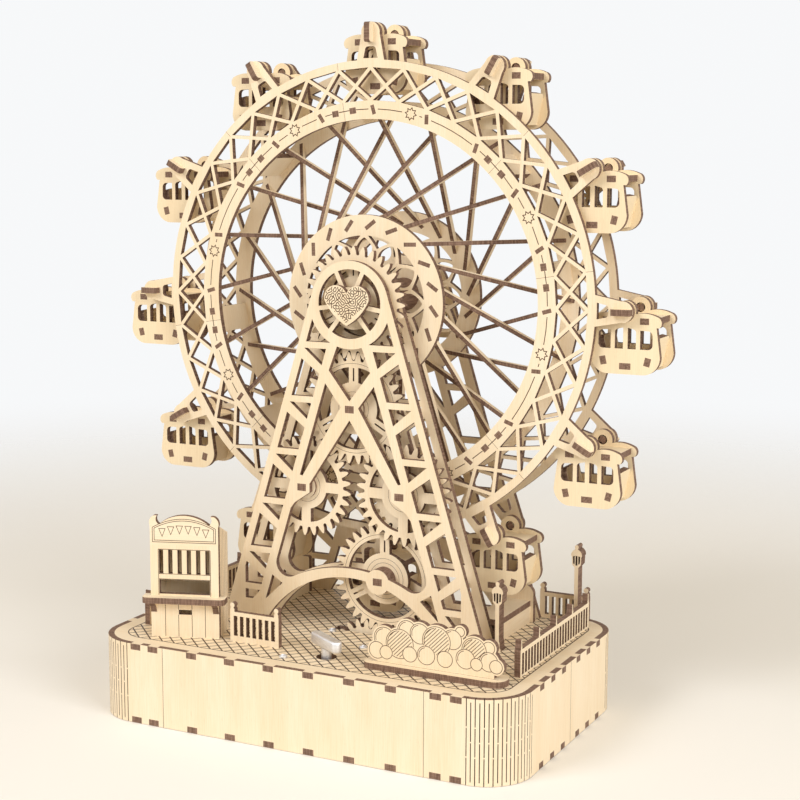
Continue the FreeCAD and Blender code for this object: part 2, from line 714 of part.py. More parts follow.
def big_opening():
    """The opening between the struts, the rails and the arch."""
    inner = size("inner_rail_in")
    crown = size("arch_crown") + size("arch_depth")
    centre_z, radius = arch(35.0, crown, 64.6)
    centre = (0.0, centre_z)
    fillet = 6.9
    lean = math.hypot(1.0, LEG_LEAN)
    height = 60.0
    while True:
        x = leg(height, inner) - fillet * lean
        if math.hypot(x, height - centre_z) >= radius + fillet:
            break
        height += 0.02
    middle = (x, height)
    on_leg = (middle[0] + fillet / lean, middle[1] + fillet * LEG_LEAN / lean)
    angle = math.atan2(middle[1] - centre_z, middle[0])
    on_arch = (radius * math.cos(angle), centre_z + radius * math.sin(angle))
    way = (on_leg[0] + on_arch[0] - 2 * middle[0], on_leg[1] + on_arch[1] - 2 * middle[1])
    length = math.hypot(*way)
    through = (middle[0] + way[0] / length * fillet, middle[1] + way[1] / length * fillet)
    right = [(22.5, 114.4), (22.5, 110.0), (31.0, 104.2), on_rail(101.0, inner), on_leg,
             ("arc", through, on_arch), ("arc", (0.0, crown), (-on_arch[0], on_arch[1])),
             ("arc", (-through[0], through[1]), (-on_leg[0], on_leg[1]))]
    left = [(-leg(101.0, inner), 101.0), (-31.0, 104.2), (-22.5, 110.0), (-22.5, 114.4)]
    return [(0.0, 148.0)] + right + left


def arch_triangle(inner):
    """The small opening between the inner rail, inner from the leg edge, and the arch."""
    return [on_rail(65.5, inner), on_rail(52.5, inner), (38.5, 61.8)]


def axle_places():
    """The fixed gear axles: name, place, and whether the gear is in the back layer."""
    centre = (0.0, HUB[1] - 2 * gear_pitch("main_teeth"))
    reach = gear_pitch("main_teeth") + gear_pitch("side_teeth")
    side_z = centre[1] - math.sqrt(reach ** 2 - size("side_axle_x") ** 2)
    right = (size("side_axle_x"), side_z)
    lower = gear_pitch("pinion_teeth") + gear_pitch("main_teeth")
    bottom = (size("bottom_axle_x"), side_z - math.sqrt(lower ** 2 - (right[0] - size("bottom_axle_x")) ** 2))
    return {"centre": centre, "left": (-right[0], right[1]), "right": right, "bottom": bottom}


def strip_hole(place):
    half_x, half_z = size("strip_width") / 2, size("strip_tall") / 2
    return box(place[0] - half_x, place[1] - half_z, place[0] + half_x, place[1] + half_z)


def boss_arc(place):
    """The round boss that widens the arch about the bottom axle."""
    return disc(6.3, place)


def front_tower_plate(name, at):
    """A plate of the front tower: legs, struts, head, and holes for the axle strips."""
    openings = head_openings([65.0, 115.0, 189.0, 232.0, 308.0, 351.0])
    rail, inner = size("rail_width"), size("inner_rail_in")
    openings += both_sides(leg_bays(rail, size("inner_rail_out")) + [head_triangle(rail), arch_triangle(inner)])
    openings += both_sides(strut_slivers()) + [middle_diamond(), big_opening()]
    places = axle_places()
    body = plate(name, "XZ_Plane", [tower_outline()] + openings, at)
    boss = sketch_on(body, "XZ_Plane", [boss_arc(places["bottom"])], name + "_boss_sketch")
    pad = body.newObject("PartDesign::Pad", name + "_boss")
    pad.Profile = boss
    pad.Reversed = True
    pad.setExpression("Length", "Sizes.ply")
    body.Tip = pad
    sketch = sketch_on(body, "XZ_Plane", [strip_hole(place) for place in places.values()], name + "_strips")
    pocket = body.newObject("PartDesign::Pocket", name + "_strip_holes")
    pocket.Profile = sketch
    pocket.Type = "ThroughAll"
    pocket.Midplane = True
    body.Tip = pocket
    return body


def back_braces():
    """The openings of the back tower between its legs: crossed braces in three bays."""
    inner, half = size("back_inner_in"), 2.2
    levels = [176.0, 140.0, 104.0, 74.0]
    openings = []
    for top, low in zip(levels, levels[1:]):
        left_top, right_top = (-leg(top, inner), top), (leg(top, inner), top)
        left_low, right_low = (-leg(low, inner), low), (leg(low, inner), low)
        middle = crossing(left_top, right_low, right_top, left_low)
        openings.append(inset([middle, right_top, left_top], [half, half, half]))
        openings.append(inset([left_low, right_low, middle], [half, half, half]))
        openings.append(inset([middle, right_low, right_top], [half, 0.0, half]))
        openings.append(inset([left_low, middle, left_top], [half, half, 0.0]))
    return openings


def back_tower_plate():
    """The one plate of the back tower: legs, head, and crossed braces between."""
    openings = head_openings([30.0, 90.0, 150.0, 210.0, 270.0, 330.0])
    rail, inner = size("back_rail"), size("back_inner_in")
    openings += both_sides(leg_bays(rail, size("back_inner_out")) + [head_triangle(rail), arch_triangle(inner)])
    return plate("back_tower_plate", "XZ_Plane", [tower_outline()] + openings + back_braces(),
                 {"y": "Sizes.back_plate_y"})


def heart():
    """The heart medallion on the head: two lobes and a point."""
    half, tall = size("heart_width") / 2, size("heart_tall")
    lobe = half * 0.52
    low = HUB[1] - tall * 0.53
    top = low + tall
    notch = top - tall * 0.2
    side = (half, top - lobe * 1.15)
    outline = [(0.0, low), ("arc", (half * 0.62, low + tall * 0.29), side),
               ("arc", (half * 0.52, top), (0.0, notch)), ("arc", (-half * 0.52, top), (-side[0], side[1])),
               ("arc", (-half * 0.62, low + tall * 0.29), (0.0, low))]
    return plate("heart_medallion", "XZ_Plane", [outline], {"y": "Sizes.front_plate_y - Sizes.ply"})


def towers():
    keep(front_tower_plate("tower_front_plate", {"y": "Sizes.front_plate_y"}))
    keep(front_tower_plate("tower_inner_plate", {"y": "Sizes.inner_plate_y"}))
    keep(back_tower_plate())
    keep(heart())


# ----------------------------------------------------------------- gear train

def gear_pitch(teeth_alias):
    """Pitch radius of a gear."""
    return size("gear_module") * size(teeth_alias) / 2


def involute(base, radius):
    """How far the flank has turned, in degrees, where it crosses a radius."""
    if radius <= base:
        return 0.0
    reach = math.sqrt((radius / base) ** 2 - 1)
    return math.degrees(reach - math.atan(reach))


def gear_outline(teeth, phase):
    """Involute teeth at 20 degrees; a tooth is centred on the phase angle."""
    module = size("gear_module")
    pitch = module * teeth / 2
    base, tip = pitch * math.cos(math.radians(20)), pitch + size("tooth_tip") * module
    root = pitch - size("tooth_root") * module
    low = max(base, root + 0.35)
    half = 90.0 / teeth - math.degrees(size("gear_backlash") / 4 / pitch)
    at_pitch = involute(base, pitch)

    def flank(radius):
        return half + at_pitch - involute(base, radius)
    middle = (low + tip) / 2
    outline = []
    for tooth in range(teeth):
        angle = phase + 360.0 * tooth / teeth
        start = polar(low, angle - flank(low))
        gap = 360.0 / teeth - 2 * flank(low)
        if tooth == 0:
            outline.append(start)
        outline.append(("arc", polar(middle, angle - flank(middle)), polar(tip, angle - flank(tip))))
        outline.append(("arc", polar(tip, angle), polar(tip, angle + flank(tip))))
        outline.append(("arc", polar(middle, angle + flank(middle)), polar(low, angle + flank(low))))
        outline.append(("arc", polar(root, angle + flank(low) + gap / 2), polar(low, angle + flank(low) + gap)))
    return outline


def gear_windows(pitch, spokes, first, slotted):
    """The openings between a gear's spokes, and a hairline slot in each spoke."""
    inner, outer = pitch * 0.5, pitch * 0.79
    openings = []
    for index in range(spokes):
        start = first + 360.0 * index / spokes
        openings.append(sector(inner, outer, start, start + 360.0 / spokes, 2.6))
        if slotted:
            middle = polar((inner + outer) / 2, start)
            openings.append(bar(middle, outer - inner - 1.0, 0.8, start))
    return openings


def gear(name, teeth_alias, place, at_y, phase, bore, spokes, slotted):
    """One plywood gear with its bore and windows, in its place on its axle."""
    teeth = int(size(teeth_alias))
    pitch = gear_pitch(teeth_alias)
    outlines = [gear_outline(teeth, phase), disc(bore)]
    if spokes:
        outlines += gear_windows(pitch, spokes, 90.0, slotted)
    body = plate(name, "XZ_Plane", outlines, {"y": at_y})
    body.Placement.Base.x = place[0]
    body.Placement.Base.z = place[1]
    return body


def next_phase(phase, teeth, place, other_teeth, other_place):
    """The phase that puts a gap of the next gear over a tooth of this one."""
    way = math.degrees(math.atan2(other_place[1] - place[1], other_place[0] - place[0]))
    share = (way - phase) * teeth / 360.0
    return way + 180.0 + (share + 0.5) * 360.0 / other_teeth


def gear_train():
    """Hub gear, centre gear, two side gears, a pinion, the bottom gear and the drive gear."""
    places = axle_places()
    main, side = int(size("main_teeth")), int(size("side_teeth"))
    pinion, drive = int(size("pinion_teeth")), int(size("drive_teeth"))
    drive_place = (size("drive_x"), size("drive_z"))
    phases = {"hub": 90.0}
    phases["centre"] = next_phase(phases["hub"], main, HUB, main, places["centre"])
    phases["left"] = next_phase(phases["centre"], main, places["centre"], side, places["left"])
    phases["right"] = next_phase(phases["centre"], main, places["centre"], side, places["right"])
    phases["pinion"] = phases["right"]
    phases["bottom"] = next_phase(phases["pinion"], pinion, places["right"], main, places["bottom"])
    phases["drive"] = next_phase(phases["bottom"], main, places["bottom"], drive, drive_place)
    front, back = "Sizes.gear_front_y", "Sizes.gear_back_y"
    running = size("bush_radius") + size("running_play")
    keep(gear("hub_gear", "main_teeth", HUB, front, phases["hub"], size("axle_radius"), 3, True))
    keep(gear("centre_gear", "main_teeth", places["centre"], front, phases["centre"], running, 3, True))
    keep(gear("left_gear", "side_teeth", places["left"], front, phases["left"], running, 4, False))
    keep(gear("right_gear", "side_teeth", places["right"], front, phases["right"], running, 4, False))
    wheel = gear("pinion_wheel", "pinion_teeth", places["right"], back, phases["pinion"], running, 0, False)
    gap = collar("pinion_washer", "Sizes.collar_radius", "Sizes.bush_radius + Sizes.running_play",
                 "Sizes.gear_back_y - Sizes.gear_front_y - Sizes.ply",
                 {"x": "Sizes.side_axle_x", "y": "Sizes.gear_front_y + Sizes.ply"})
    for member in (gap.Base, gap.Tool):
        member.Placement.Base.z = places["right"][1]
    keep(group("right_pinion", [wheel, gap]))
    keep(gear("bottom_gear", "main_teeth", places["bottom"], back, phases["bottom"], running, 3, True))
    keep(gear("drive_gear", "drive_teeth", drive_place, back, phases["drive"], size("arbor_radius"), 0, False))


def axle_strips():
    """The square strips through both plates of the front tower that carry the gears."""
    strips = []
    for name, (x, z) in axle_places().items():
        strip = block("strip_" + name, "Sizes.strip_width", "Sizes.inner_plate_y - Sizes.front_plate_y + Sizes.ply",
                      "Sizes.strip_tall", {"y": "Sizes.front_plate_y"})
        strip.Placement.Base.x = x - size("strip_width") / 2
        strip.Placement.Base.z = z - size("strip_tall") / 2
        strips.append(strip)
    return group("gear_axle_strips", strips)


def gear_bushes():
    """A round bush with two collars on each strip, between the two plates."""
    gap_start, gap_stop = size("front_plate_y") + PLY, size("inner_plate_y")
    front, back, play = size("gear_front_y"), size("gear_back_y"), size("face_play")
    seats = {"centre": (front, front + PLY), "left": (front, front + PLY),
             "right": (front, back + PLY), "bottom": (back, back + PLY)}
    bushes = []
    for name, (x, z) in axle_places().items():
        first, last = seats[name]
        stack = []
        rounds = [("collar_radius", gap_start, first - play), ("bush_radius", first - play, last + play),
                  ("collar_radius", last + play, gap_stop)]
        for index, (alias, start, stop) in enumerate(rounds):
            ring = rod("bush_%s_%d" % (name, index), "Sizes." + alias, "%.6f" % (stop - start), {})
            ring.Placement.Base = FreeCAD.Vector(x, start, z)
            stack.append(ring)
        hole = block("bush_%s_hole" % name, "Sizes.strip_width", "%.6f" % (gap_stop - gap_start),
                     "Sizes.strip_tall", {})
        hole.Placement.Base = FreeCAD.Vector(x - size("strip_width") / 2, gap_start, z - size("strip_tall") / 2)
        bushes.append(cut("bush_" + name, fuse("bush_%s_stack" % name, stack), hole))
    return group("gear_bushes", bushes)


# ---------------------------------------------------------------------- wheel

JOINTS = [9.0, 45.0, 99.0, 135.0, 189.0, 225.0, 279.0, 315.0]


def arm_steps(angle):
    """The rim's outline where an arm stands on it, up to the round arm end."""
    root, end, pivot = size("arm_root"), size("arm_end"), size("pivot_radius")
    foot = math.sqrt(size("rim_outer") ** 2 - root ** 2)
    local = [(foot, -root), (pivot - 0.7, -end * 0.99), ("arc", (pivot + end, 0.0), (pivot - 0.7, end * 0.99)),
             (foot, root)]
    return turned(local, angle)


def rim_outline():
    """The outer edge of a ring with its twelve arms."""
    count = int(size("gondolas"))
    half_turn = math.degrees(math.asin(size("arm_root") / size("rim_outer")))
    outline = [polar(size("rim_outer"), -half_turn)]
    for index in range(count):
        angle = 360.0 * index / count
        steps = arm_steps(angle)
        outline += steps[1:]
        following = angle + 360.0 / count
        outline.append(("arc", polar(size("rim_outer"), (angle + following) / 2),
                        polar(size("rim_outer"), following - half_turn)))
    return outline


def arm_openings():
    """The window between the two legs of each arm, and the hole for the pin."""
    count = int(size("gondolas"))
    start, pivot = size("rim_outer") + 0.7, size("pivot_radius")
    window = rounded([(start, -3.9), (start + 5.6, -2.6), (start + 5.6, 2.6), (start, 3.9)], [0, 1.6, 1.6, 0])
    hole = box(pivot - size("pin_shank") / 2, -PLY / 2, pivot + size("pin_shank") / 2, PLY / 2)
    openings = []
    for index in range(count):
        openings += [turned(window, 360.0 * index / count), turned(hole, 360.0 * index / count)]
    return openings


def lattice_openings():
    """The three-cornered and four-cornered openings between the crossed bars."""
    nodes_round = int(size("lattice_nodes"))
    pitch, half = 360.0 / nodes_round, size("lattice_bar") / 2
    outer, inner = size("rim_lattice_out"), size("rim_lattice_in")

    def cross(turn):
        return crossing(polar(outer, turn - pitch / 2), polar(inner, turn + pitch / 2),
                        polar(outer, turn + pitch / 2), polar(inner, turn - pitch / 2))
    upper = inset([cross(pitch / 2), polar(outer, 0.0), polar(outer, pitch)], [half, 0.0, half])
    lower = inset([cross(pitch / 2), polar(inner, pitch), polar(inner, 0.0)], [half, 0.0, half])
    diamond = inset([polar(inner, 0.0), cross(pitch / 2), polar(outer, 0.0), cross(-pitch / 2)][::-1], [half] * 4)
    openings = []
    for index in range(nodes_round):
        openings += [turned(shape, pitch * index) for shape in (upper, lower, diamond)]
    return openings


def strip_way(rim_angle):
    """Start and direction, in the wheel's plane, of the spoke from a slot of the front ring."""
    start = polar(size("rim_slots"), rim_angle)
    end = polar(size("disc_slots"), rim_angle - size("spoke_sweep"))
    return start, end


def spoke_angles():
    step = 360.0 / int(size("spokes"))
    return [size("spoke_first") - step * index for index in range(int(size("spokes")))]


def way_angle(start, end):
    return math.degrees(math.atan2(end[1] - start[1], end[0] - start[0]))


def rim_slots():
    """Spoke slots of the front ring, each in line with its spoke."""
    slots = []
    for angle in spoke_angles():
        start, end = strip_way(angle)
        slots.append(bar(start, size("rim_slot"), size("spoke_thick"), way_angle(start, end)))
    return slots


def disc_slots():
    """Spoke slots of the back disc; the front disc has the same ones mirrored."""
    slots = []
    for angle in spoke_angles():
        start, end = strip_way(angle)
        slots.append(bar(end, size("disc_slot"), size("spoke_thick"), way_angle(start, end)))
    return slots


def board_slots():
    """Slots for the tabs of the cross boards, two beside each ring joint."""
    turn = math.radians(size("board_tab_turn"))
    radius, off = size("rim_slots") * math.cos(turn), size("rim_slots") * math.sin(turn)
    slots = []
    for joint in JOINTS:
        for sign in (-1, 1):
            slots.append(turned(bar((radius, sign * off), PLY, size("board_tab"), 0.0), joint))
    return slots


def ring(name, flipped, at_y):
    """A ring of the wheel: eight segments of lattice, end to end, with the arms."""
    slots = rim_slots()
    if flipped:
        slots = [mirrored(slot) for slot in slots]
    outlines = [rim_outline(), disc(size("rim_inner"))] + arm_openings() + lattice_openings()
    outlines += slots + board_slots()
    whole = plate(name + "_whole", "XZ_Plane", outlines, {"z": "Sizes.hub_height"})
    whole.setExpression("Placement.Base.y", at_y)
    segments = []
    for index, start in enumerate(JOINTS):
        span = (JOINTS[(index + 1) % len(JOINTS)] - start) % 360.0
        wedge = doc.addObject("Part::Cylinder", "%s_wedge_%d" % (name, index + 1))
        wedge.setExpression("Radius", "Sizes.pivot_radius + Sizes.arm_end + Sizes.ply")
        wedge.setExpression("Height", "3 * Sizes.ply")
        wedge.Angle = span
        upright = FreeCAD.Rotation(FreeCAD.Vector(1, 0, 0), 90)
        wedge.Placement.Rotation = FreeCAD.Rotation(FreeCAD.Vector(0, 1, 0), -start).multiply(upright)
        bind(wedge, {"y": at_y + " + 2 * Sizes.ply", "z": "Sizes.hub_height"})
        segment = doc.addObject("Part::Common", "%s_segment_%d" % (name, index + 1))
        segment.Base = whole
        segment.Tool = wedge
        segments.append(segment)
    return group(name, segments)


def tracery():
    """Twelve pointed petals round the hub, with spandrels and small darts between them."""
    window = size("disc_window")
    petal = [(window - 0.9, 0.0), ("arc", (window - 3.5, 3.0), (window - 6.8, 4.7)),
             ("arc", (window - 12.6, 0.0), (window - 6.8, -4.7)), ("arc", (window - 3.5, -3.0), (window - 0.9, 0.0))]
    point = polar(window - 5.6, 15.0)
    spandrel = [polar(window, 3.6), ("arc", polar(window, 15.0), polar(window, 26.4)),
                ("arc", polar(window - 3.0, 20.6), point), ("arc", polar(window - 3.0, 9.4), polar(window, 3.6))]
    dart = [polar(window - 7.1, 15.0), polar(window - 12.6, 12.2), polar(window - 12.6, 17.8)]
    openings = []
    for index in range(12):
        openings += [turned(shape, 30.0 * index) for shape in (petal, spandrel, dart)]
    return openings


def hub_disc(name, front, at_y):
    """A hub disc: slotted rim, tracery and a bored hub."""
    slots = disc_slots()
    if front:
        slots = [mirrored(slot) for slot in slots]
    outlines = [disc(size("disc_outer")), disc(size("axle_radius"))] + slots + tracery()
    body = plate(name, "XZ_Plane", outlines, {"z": "Sizes.hub_height"})
    body.setExpression("Placement.Base.y", at_y)
    return body


def spoke_strip(name, rim_angle, flipped):
    """One spoke: a flat strip that runs aslant from a slot of one ring to the far disc.

    Its outline is drawn in the plane of its way and the axle, and its tabs fill
    the two slots.
    """
    start, end = strip_way(rim_angle)
    length, angle = math.dist(start, end), way_angle(start, end)
    rim_half, disc_half = size("rim_slot") / 2, size("disc_slot") / 2
    middle = size("wheel_middle_y")
    near, far = FRONT_RING_Y - middle, BACK_DISC_Y + PLY - middle
    outline = [(-rim_half, near), (rim_half, near), (rim_half, near + PLY), (length + disc_half, far - PLY),
               (length + disc_half, far), (length - disc_half, far), (length - disc_half, far - PLY),
               (-rim_half, near + PLY)]
    strip = plate(name, "XY_Plane", [outline], {}, "Sizes.spoke_thick")
    strip.Tip.Midplane = True
    turn = FreeCAD.Rotation(FreeCAD.Vector(0, 1, 0), -angle)
    place = FreeCAD.Placement(FreeCAD.Vector(start[0], 0, start[1]), turn)
    if flipped:
        place = FreeCAD.Placement(FreeCAD.Vector(), FreeCAD.Rotation(FreeCAD.Vector(0, 0, 1), 180)).multiply(place)
    place.Base = place.Base.add(FreeCAD.Vector(HUB[0], middle, HUB[1]))
    strip.Placement = place
    return strip


def spoke_set(name, flipped):
    strips = [spoke_strip("%s_%02d" % (name, index + 1), angle, flipped)
              for index, angle in enumerate(spoke_angles())]
    return group(name, strips)


def cross_boards():
    """The boards that tie the two rings together beside each joint."""
    turn = math.radians(size("board_tab_turn"))
    off, radius = size("rim_slots") * math.sin(turn), size("rim_slots") * math.cos(turn)
    tab, width = size("board_tab") / 2, off + size("board_tab") / 2
    near, far = FRONT_RING_Y, BACK_RING_Y + PLY
    outline = [(-width, near + PLY), (-off - tab, near + PLY), (-off - tab, near), (-off + tab, near),
               (-off + tab, near + PLY), (off - tab, near + PLY), (off - tab, near), (off + tab, near),
               (off + tab, far), (off - tab, far), (off - tab, far - PLY), (-off + tab, far - PLY),
               (-off + tab, far), (-off - tab, far)]
    boards = []
    for index, joint in enumerate(JOINTS):
        board = plate("cross_board_%d" % (index + 1), "XY_Plane", [outline[1:]], {"z": "Sizes.hub_height"})
        board.Placement.Rotation = FreeCAD.Rotation(FreeCAD.Vector(0, 1, 0), 90.0 - joint)
        foot = polar(radius - PLY / 2, joint, HUB)
        board.setExpression("Placement.Base.z", None)
        board.Placement.Base = FreeCAD.Vector(foot[0], 0, foot[1])
        boards.append(board)
    return group("ring_cross_boards", boards)


def pivot_pins():
    """Two short pins for each gondola: a wide head outside a ring, a shank through the gondola's panel."""
    head, shank, deep = size("pin_head") / 2, size("pin_shank") / 2, size("pin_head_deep")
    middle = size("wheel_middle_y")
    near, end = FRONT_RING_Y, middle - size("car_deep") / 2 + PLY - size("pin_short")
    front = rounded([(-head, near - deep), (head, near - deep), (head, near), (shank, near), (shank, end),
                     (-shank, end), (-shank, near), (-head, near)], [1.4, 1.4, 0, 0, 0, 0, 0, 0])
    back = moved(front, lambda p: (p[0], 2 * middle - p[1]))
    pins = []
    for index in range(int(size("gondolas"))):
        angle = 360.0 * index / int(size("gondolas"))
        pivot = polar(size("pivot_radius"), angle, HUB)
        drop = polar(PLY / 2, angle - 90.0)
        for side, outline in (("front", front), ("back", back)):
            pin = plate("pivot_pin_%s_%02d" % (side, index + 1), "XY_Plane", [outline], {})
            pin.Placement.Rotation = FreeCAD.Rotation(FreeCAD.Vector(0, 1, 0), -angle)
            pin.Placement.Base = FreeCAD.Vector(pivot[0] + drop[0], 0, pivot[1] + drop[1])
            pins.append(pin)
    return group("gondola_pivot_pins", pins)


def wheel_axle():
    """The axle, from behind the heart to the cap behind the back tower."""
    axle = rod("wheel_axle", "Sizes.axle_radius",
               "Sizes.back_plate_y - Sizes.front_plate_y + 2 * Sizes.ply + 0.2 - Sizes.face_play",
               {"y": "Sizes.front_plate_y + Sizes.face_play", "z": "Sizes.hub_height"})
    return axle


def axle_collars():
    """Washers and the sleeve on the axle that keep the turning pieces in their places."""
    play = size("face_play")
    runs = [("front_washer", 7.0, size("front_plate_y") + PLY + play, size("gear_front_y")),
            ("gear_washer", 7.0, size("gear_front_y") + PLY, size("inner_plate_y") - play),
            ("disc_washer", 7.0, size("inner_plate_y") + PLY + play, FRONT_DISC_Y),
            ("hub_sleeve", 8.5, FRONT_DISC_Y + PLY, BACK_DISC_Y),
            ("back_washer", 7.0, BACK_DISC_Y + PLY, size("back_plate_y") - play),
            ("end_cap", 7.0, size("back_plate_y") + PLY + play, size("back_plate_y") + 2 * PLY + 0.2)]
    rings = []
    for name, radius, start, stop in runs:
        ring_part = collar(name, "%.4f" % radius, "Sizes.axle_radius", "%.6f" % (stop - start),
                           {"z": "Sizes.hub_height"})
        for member in (ring_part.Base, ring_part.Tool):
            member.Placement.Base.y = start
        rings.append(ring_part)
    return group("axle_collars", rings)


def wheel():
    middle = "Sizes.wheel_middle_y"
    keep(wheel_axle())
    keep(axle_collars())
    keep(ring("front_ring", False, middle + " - Sizes.ring_gap / 2 - Sizes.ply"))
    keep(ring("back_ring", True, middle + " + Sizes.ring_gap / 2"))
    keep(cross_boards())
    keep(hub_disc("front_hub_disc", True, middle + " - Sizes.disc_gap / 2 - Sizes.ply"))
    keep(hub_disc("back_hub_disc", False, middle + " + Sizes.disc_gap / 2"))
    keep(spoke_set("front_ring_spokes", False))
    keep(spoke_set("back_ring_spokes", True))
    keep(pivot_pins())


# ------------------------------------------------------------------- gondolas

def car_outline():
    """A gondola's end panel about its pivot: boss, curved roof, eaves, belly."""
    half, neck, eave, drop = size("car_half"), size("car_neck"), size("car_eave"), size("car_drop")
    boss = size("arm_end")
    right = [(boss * 0.97, -1.2), ("arc", (11.0, -0.9), (eave - 2.2, -2.1)),
             ("arc", (eave - 0.1, -4.2), (eave - 1.0, -7.2)), (neck, -7.2), (half, -drop + 8.4), ("arc", (half - 2.6, -drop + 2.3), (half - 8.2, -drop))]
    left = mirrored(right)
    outline = [(-boss * 0.97, -1.2), ("arc", (0.0, boss), right[0])] + right[1:]
    outline += [(-half + 8.2, -drop), ("arc", left[5][1], left[4]), left[3], (-eave + 1.0, -7.2),
                ("arc", left[2][1], left[1][2]), ("arc", left[1][1], left[0])]
    return outline


def car_windows():
    """Four windows under the curved roof, the outer two with rounded corners."""
    sill = -size("sill_drop")
    outer = rounded([(7.1, sill), (13.1, sill), (13.0, -8.9), (7.1, -8.7)], [0, 2.2, 2.2, 0])
    inner = rounded([(1.1, sill), (5.1, sill), (5.1, -8.6), (1.1, -7.6)], [0, 0, 1.6, 0])
    return both_sides([outer, inner])


ROOF_TAB = (9.0, -4.45)
FLOOR_Z = -27.2
WALL_FOOT = (10.7, -23.3)
WALL_LEAN = 13.0


def car_slots():
    """Slots of an end panel for the tabs of the roof, the floor and the leaning walls."""
    slots = both_sides([bar(ROOF_TAB, 4.4, PLY, 0.0), bar(WALL_FOOT, 4.0, PLY, 90.0 - WALL_LEAN)])
    slots.append(bar((0.0, FLOOR_Z + PLY / 2), 5.5, PLY, 0.0))
    return slots


def tabbed_run(half, deep, tabs, tab_half):
    """A board that fills the space between the end panels, with tabs into both."""
    outline = [(-half, -deep / 2 + PLY)]
    for x in tabs:
        outline += [(x - tab_half, -deep / 2 + PLY), (x - tab_half, -deep / 2), (x + tab_half, -deep / 2),
                    (x + tab_half, -deep / 2 + PLY)]
    outline.append((half, -deep / 2 + PLY))
    outline.append((half, deep / 2 - PLY))
    for x in reversed(tabs):
        outline += [(x + tab_half, deep / 2 - PLY), (x + tab_half, deep / 2), (x - tab_half, deep / 2),
                    (x - tab_half, deep / 2 - PLY)]
    outline.append((-half, deep / 2 - PLY))
    return outline


def car_wall(name, sign):
    """A side wall that leans outward with the belly, from the floor to the sill."""
    deep = size("car_deep")
    low, high = -3.8, 11.4
    outline = [(-deep / 2 + PLY, low), (deep / 2 - PLY, low), (deep / 2 - PLY, -2.0), (deep / 2, -2.0),
               (deep / 2, 2.0), (deep / 2 - PLY, 2.0), (deep / 2 - PLY, high - 2.5), ("arc",
               (deep / 2 - PLY - 0.8, high - 0.8), (deep / 2 - PLY - 2.5, high)), (-deep / 2 + PLY + 2.5, high),
               ("arc", (-deep / 2 + PLY + 0.8, high - 0.8), (-deep / 2 + PLY, high - 2.5)),
               (-deep / 2 + PLY, 2.0), (-deep / 2, 2.0), (-deep / 2, -2.0), (-deep / 2 + PLY, -2.0)]
    wall = plate(name, "YZ_Plane", [outline], {})
    lean = sign * WALL_LEAN
    wall.Placement.Rotation = FreeCAD.Rotation(FreeCAD.Vector(0, 1, 0), lean)
    turn = math.radians(lean)
    off = (PLY / 2 * math.cos(turn), -PLY / 2 * math.sin(turn))
    wall.Placement.Base = FreeCAD.Vector(sign * WALL_FOOT[0] - off[0], 0, WALL_FOOT[1] - off[1])
    return wall


def car_pattern():
    """One gondola about its pivot: two end panels, roof, floor and two leaning walls."""
    deep = size("car_deep")
    bore = math.hypot(size("pin_shank"), PLY) / 2 + size("running_play")
    outlines = [car_outline(), disc(bore)] + car_windows() + car_slots()
    front = plate("car_front_panel", "XZ_Plane", outlines, {"y": "-Sizes.car_deep / 2"})
    back = plate("car_back_panel", "XZ_Plane", outlines, {"y": "Sizes.car_deep / 2 - Sizes.ply"})
    roof = plate("car_roof", "XY_Plane", [tabbed_run(14.5, deep, [-ROOF_TAB[0], ROOF_TAB[0]], 2.2)], {})
    roof.Placement.Base.z = ROOF_TAB[1] - PLY / 2
    floor = plate("car_floor", "XY_Plane", [tabbed_run(8.0, deep, [0.0], 2.75)], {})
    floor.Placement.Base.z = FLOOR_Z
    return group("car_pattern", [front, back, roof, floor, car_wall("car_left_wall", -1), car_wall("car_right_wall", 1)])


def gondola_ring():
    """The twelve gondolas, each upright under its own pivot."""
    pattern = car_pattern()
    doc.recompute()
    count = int(size("gondolas"))
    for index in range(count):
        item = doc.addObject("Part::Feature", "gondola_%02d" % (index + 1))
        item.Label = "gondola_%02d" % (index + 1)
        item.Shape = pattern.Shape.copy()
        turn = "%.6f deg" % (360.0 * index / count)
        bind(item, {"x": "Sizes.pivot_radius * cos(%s)" % turn, "y": "Sizes.wheel_middle_y",
                    "z": "Sizes.hub_height + Sizes.pivot_radius * sin(%s)" % turn})
        keep(item)


# ------------------------------------------------------------- music movement

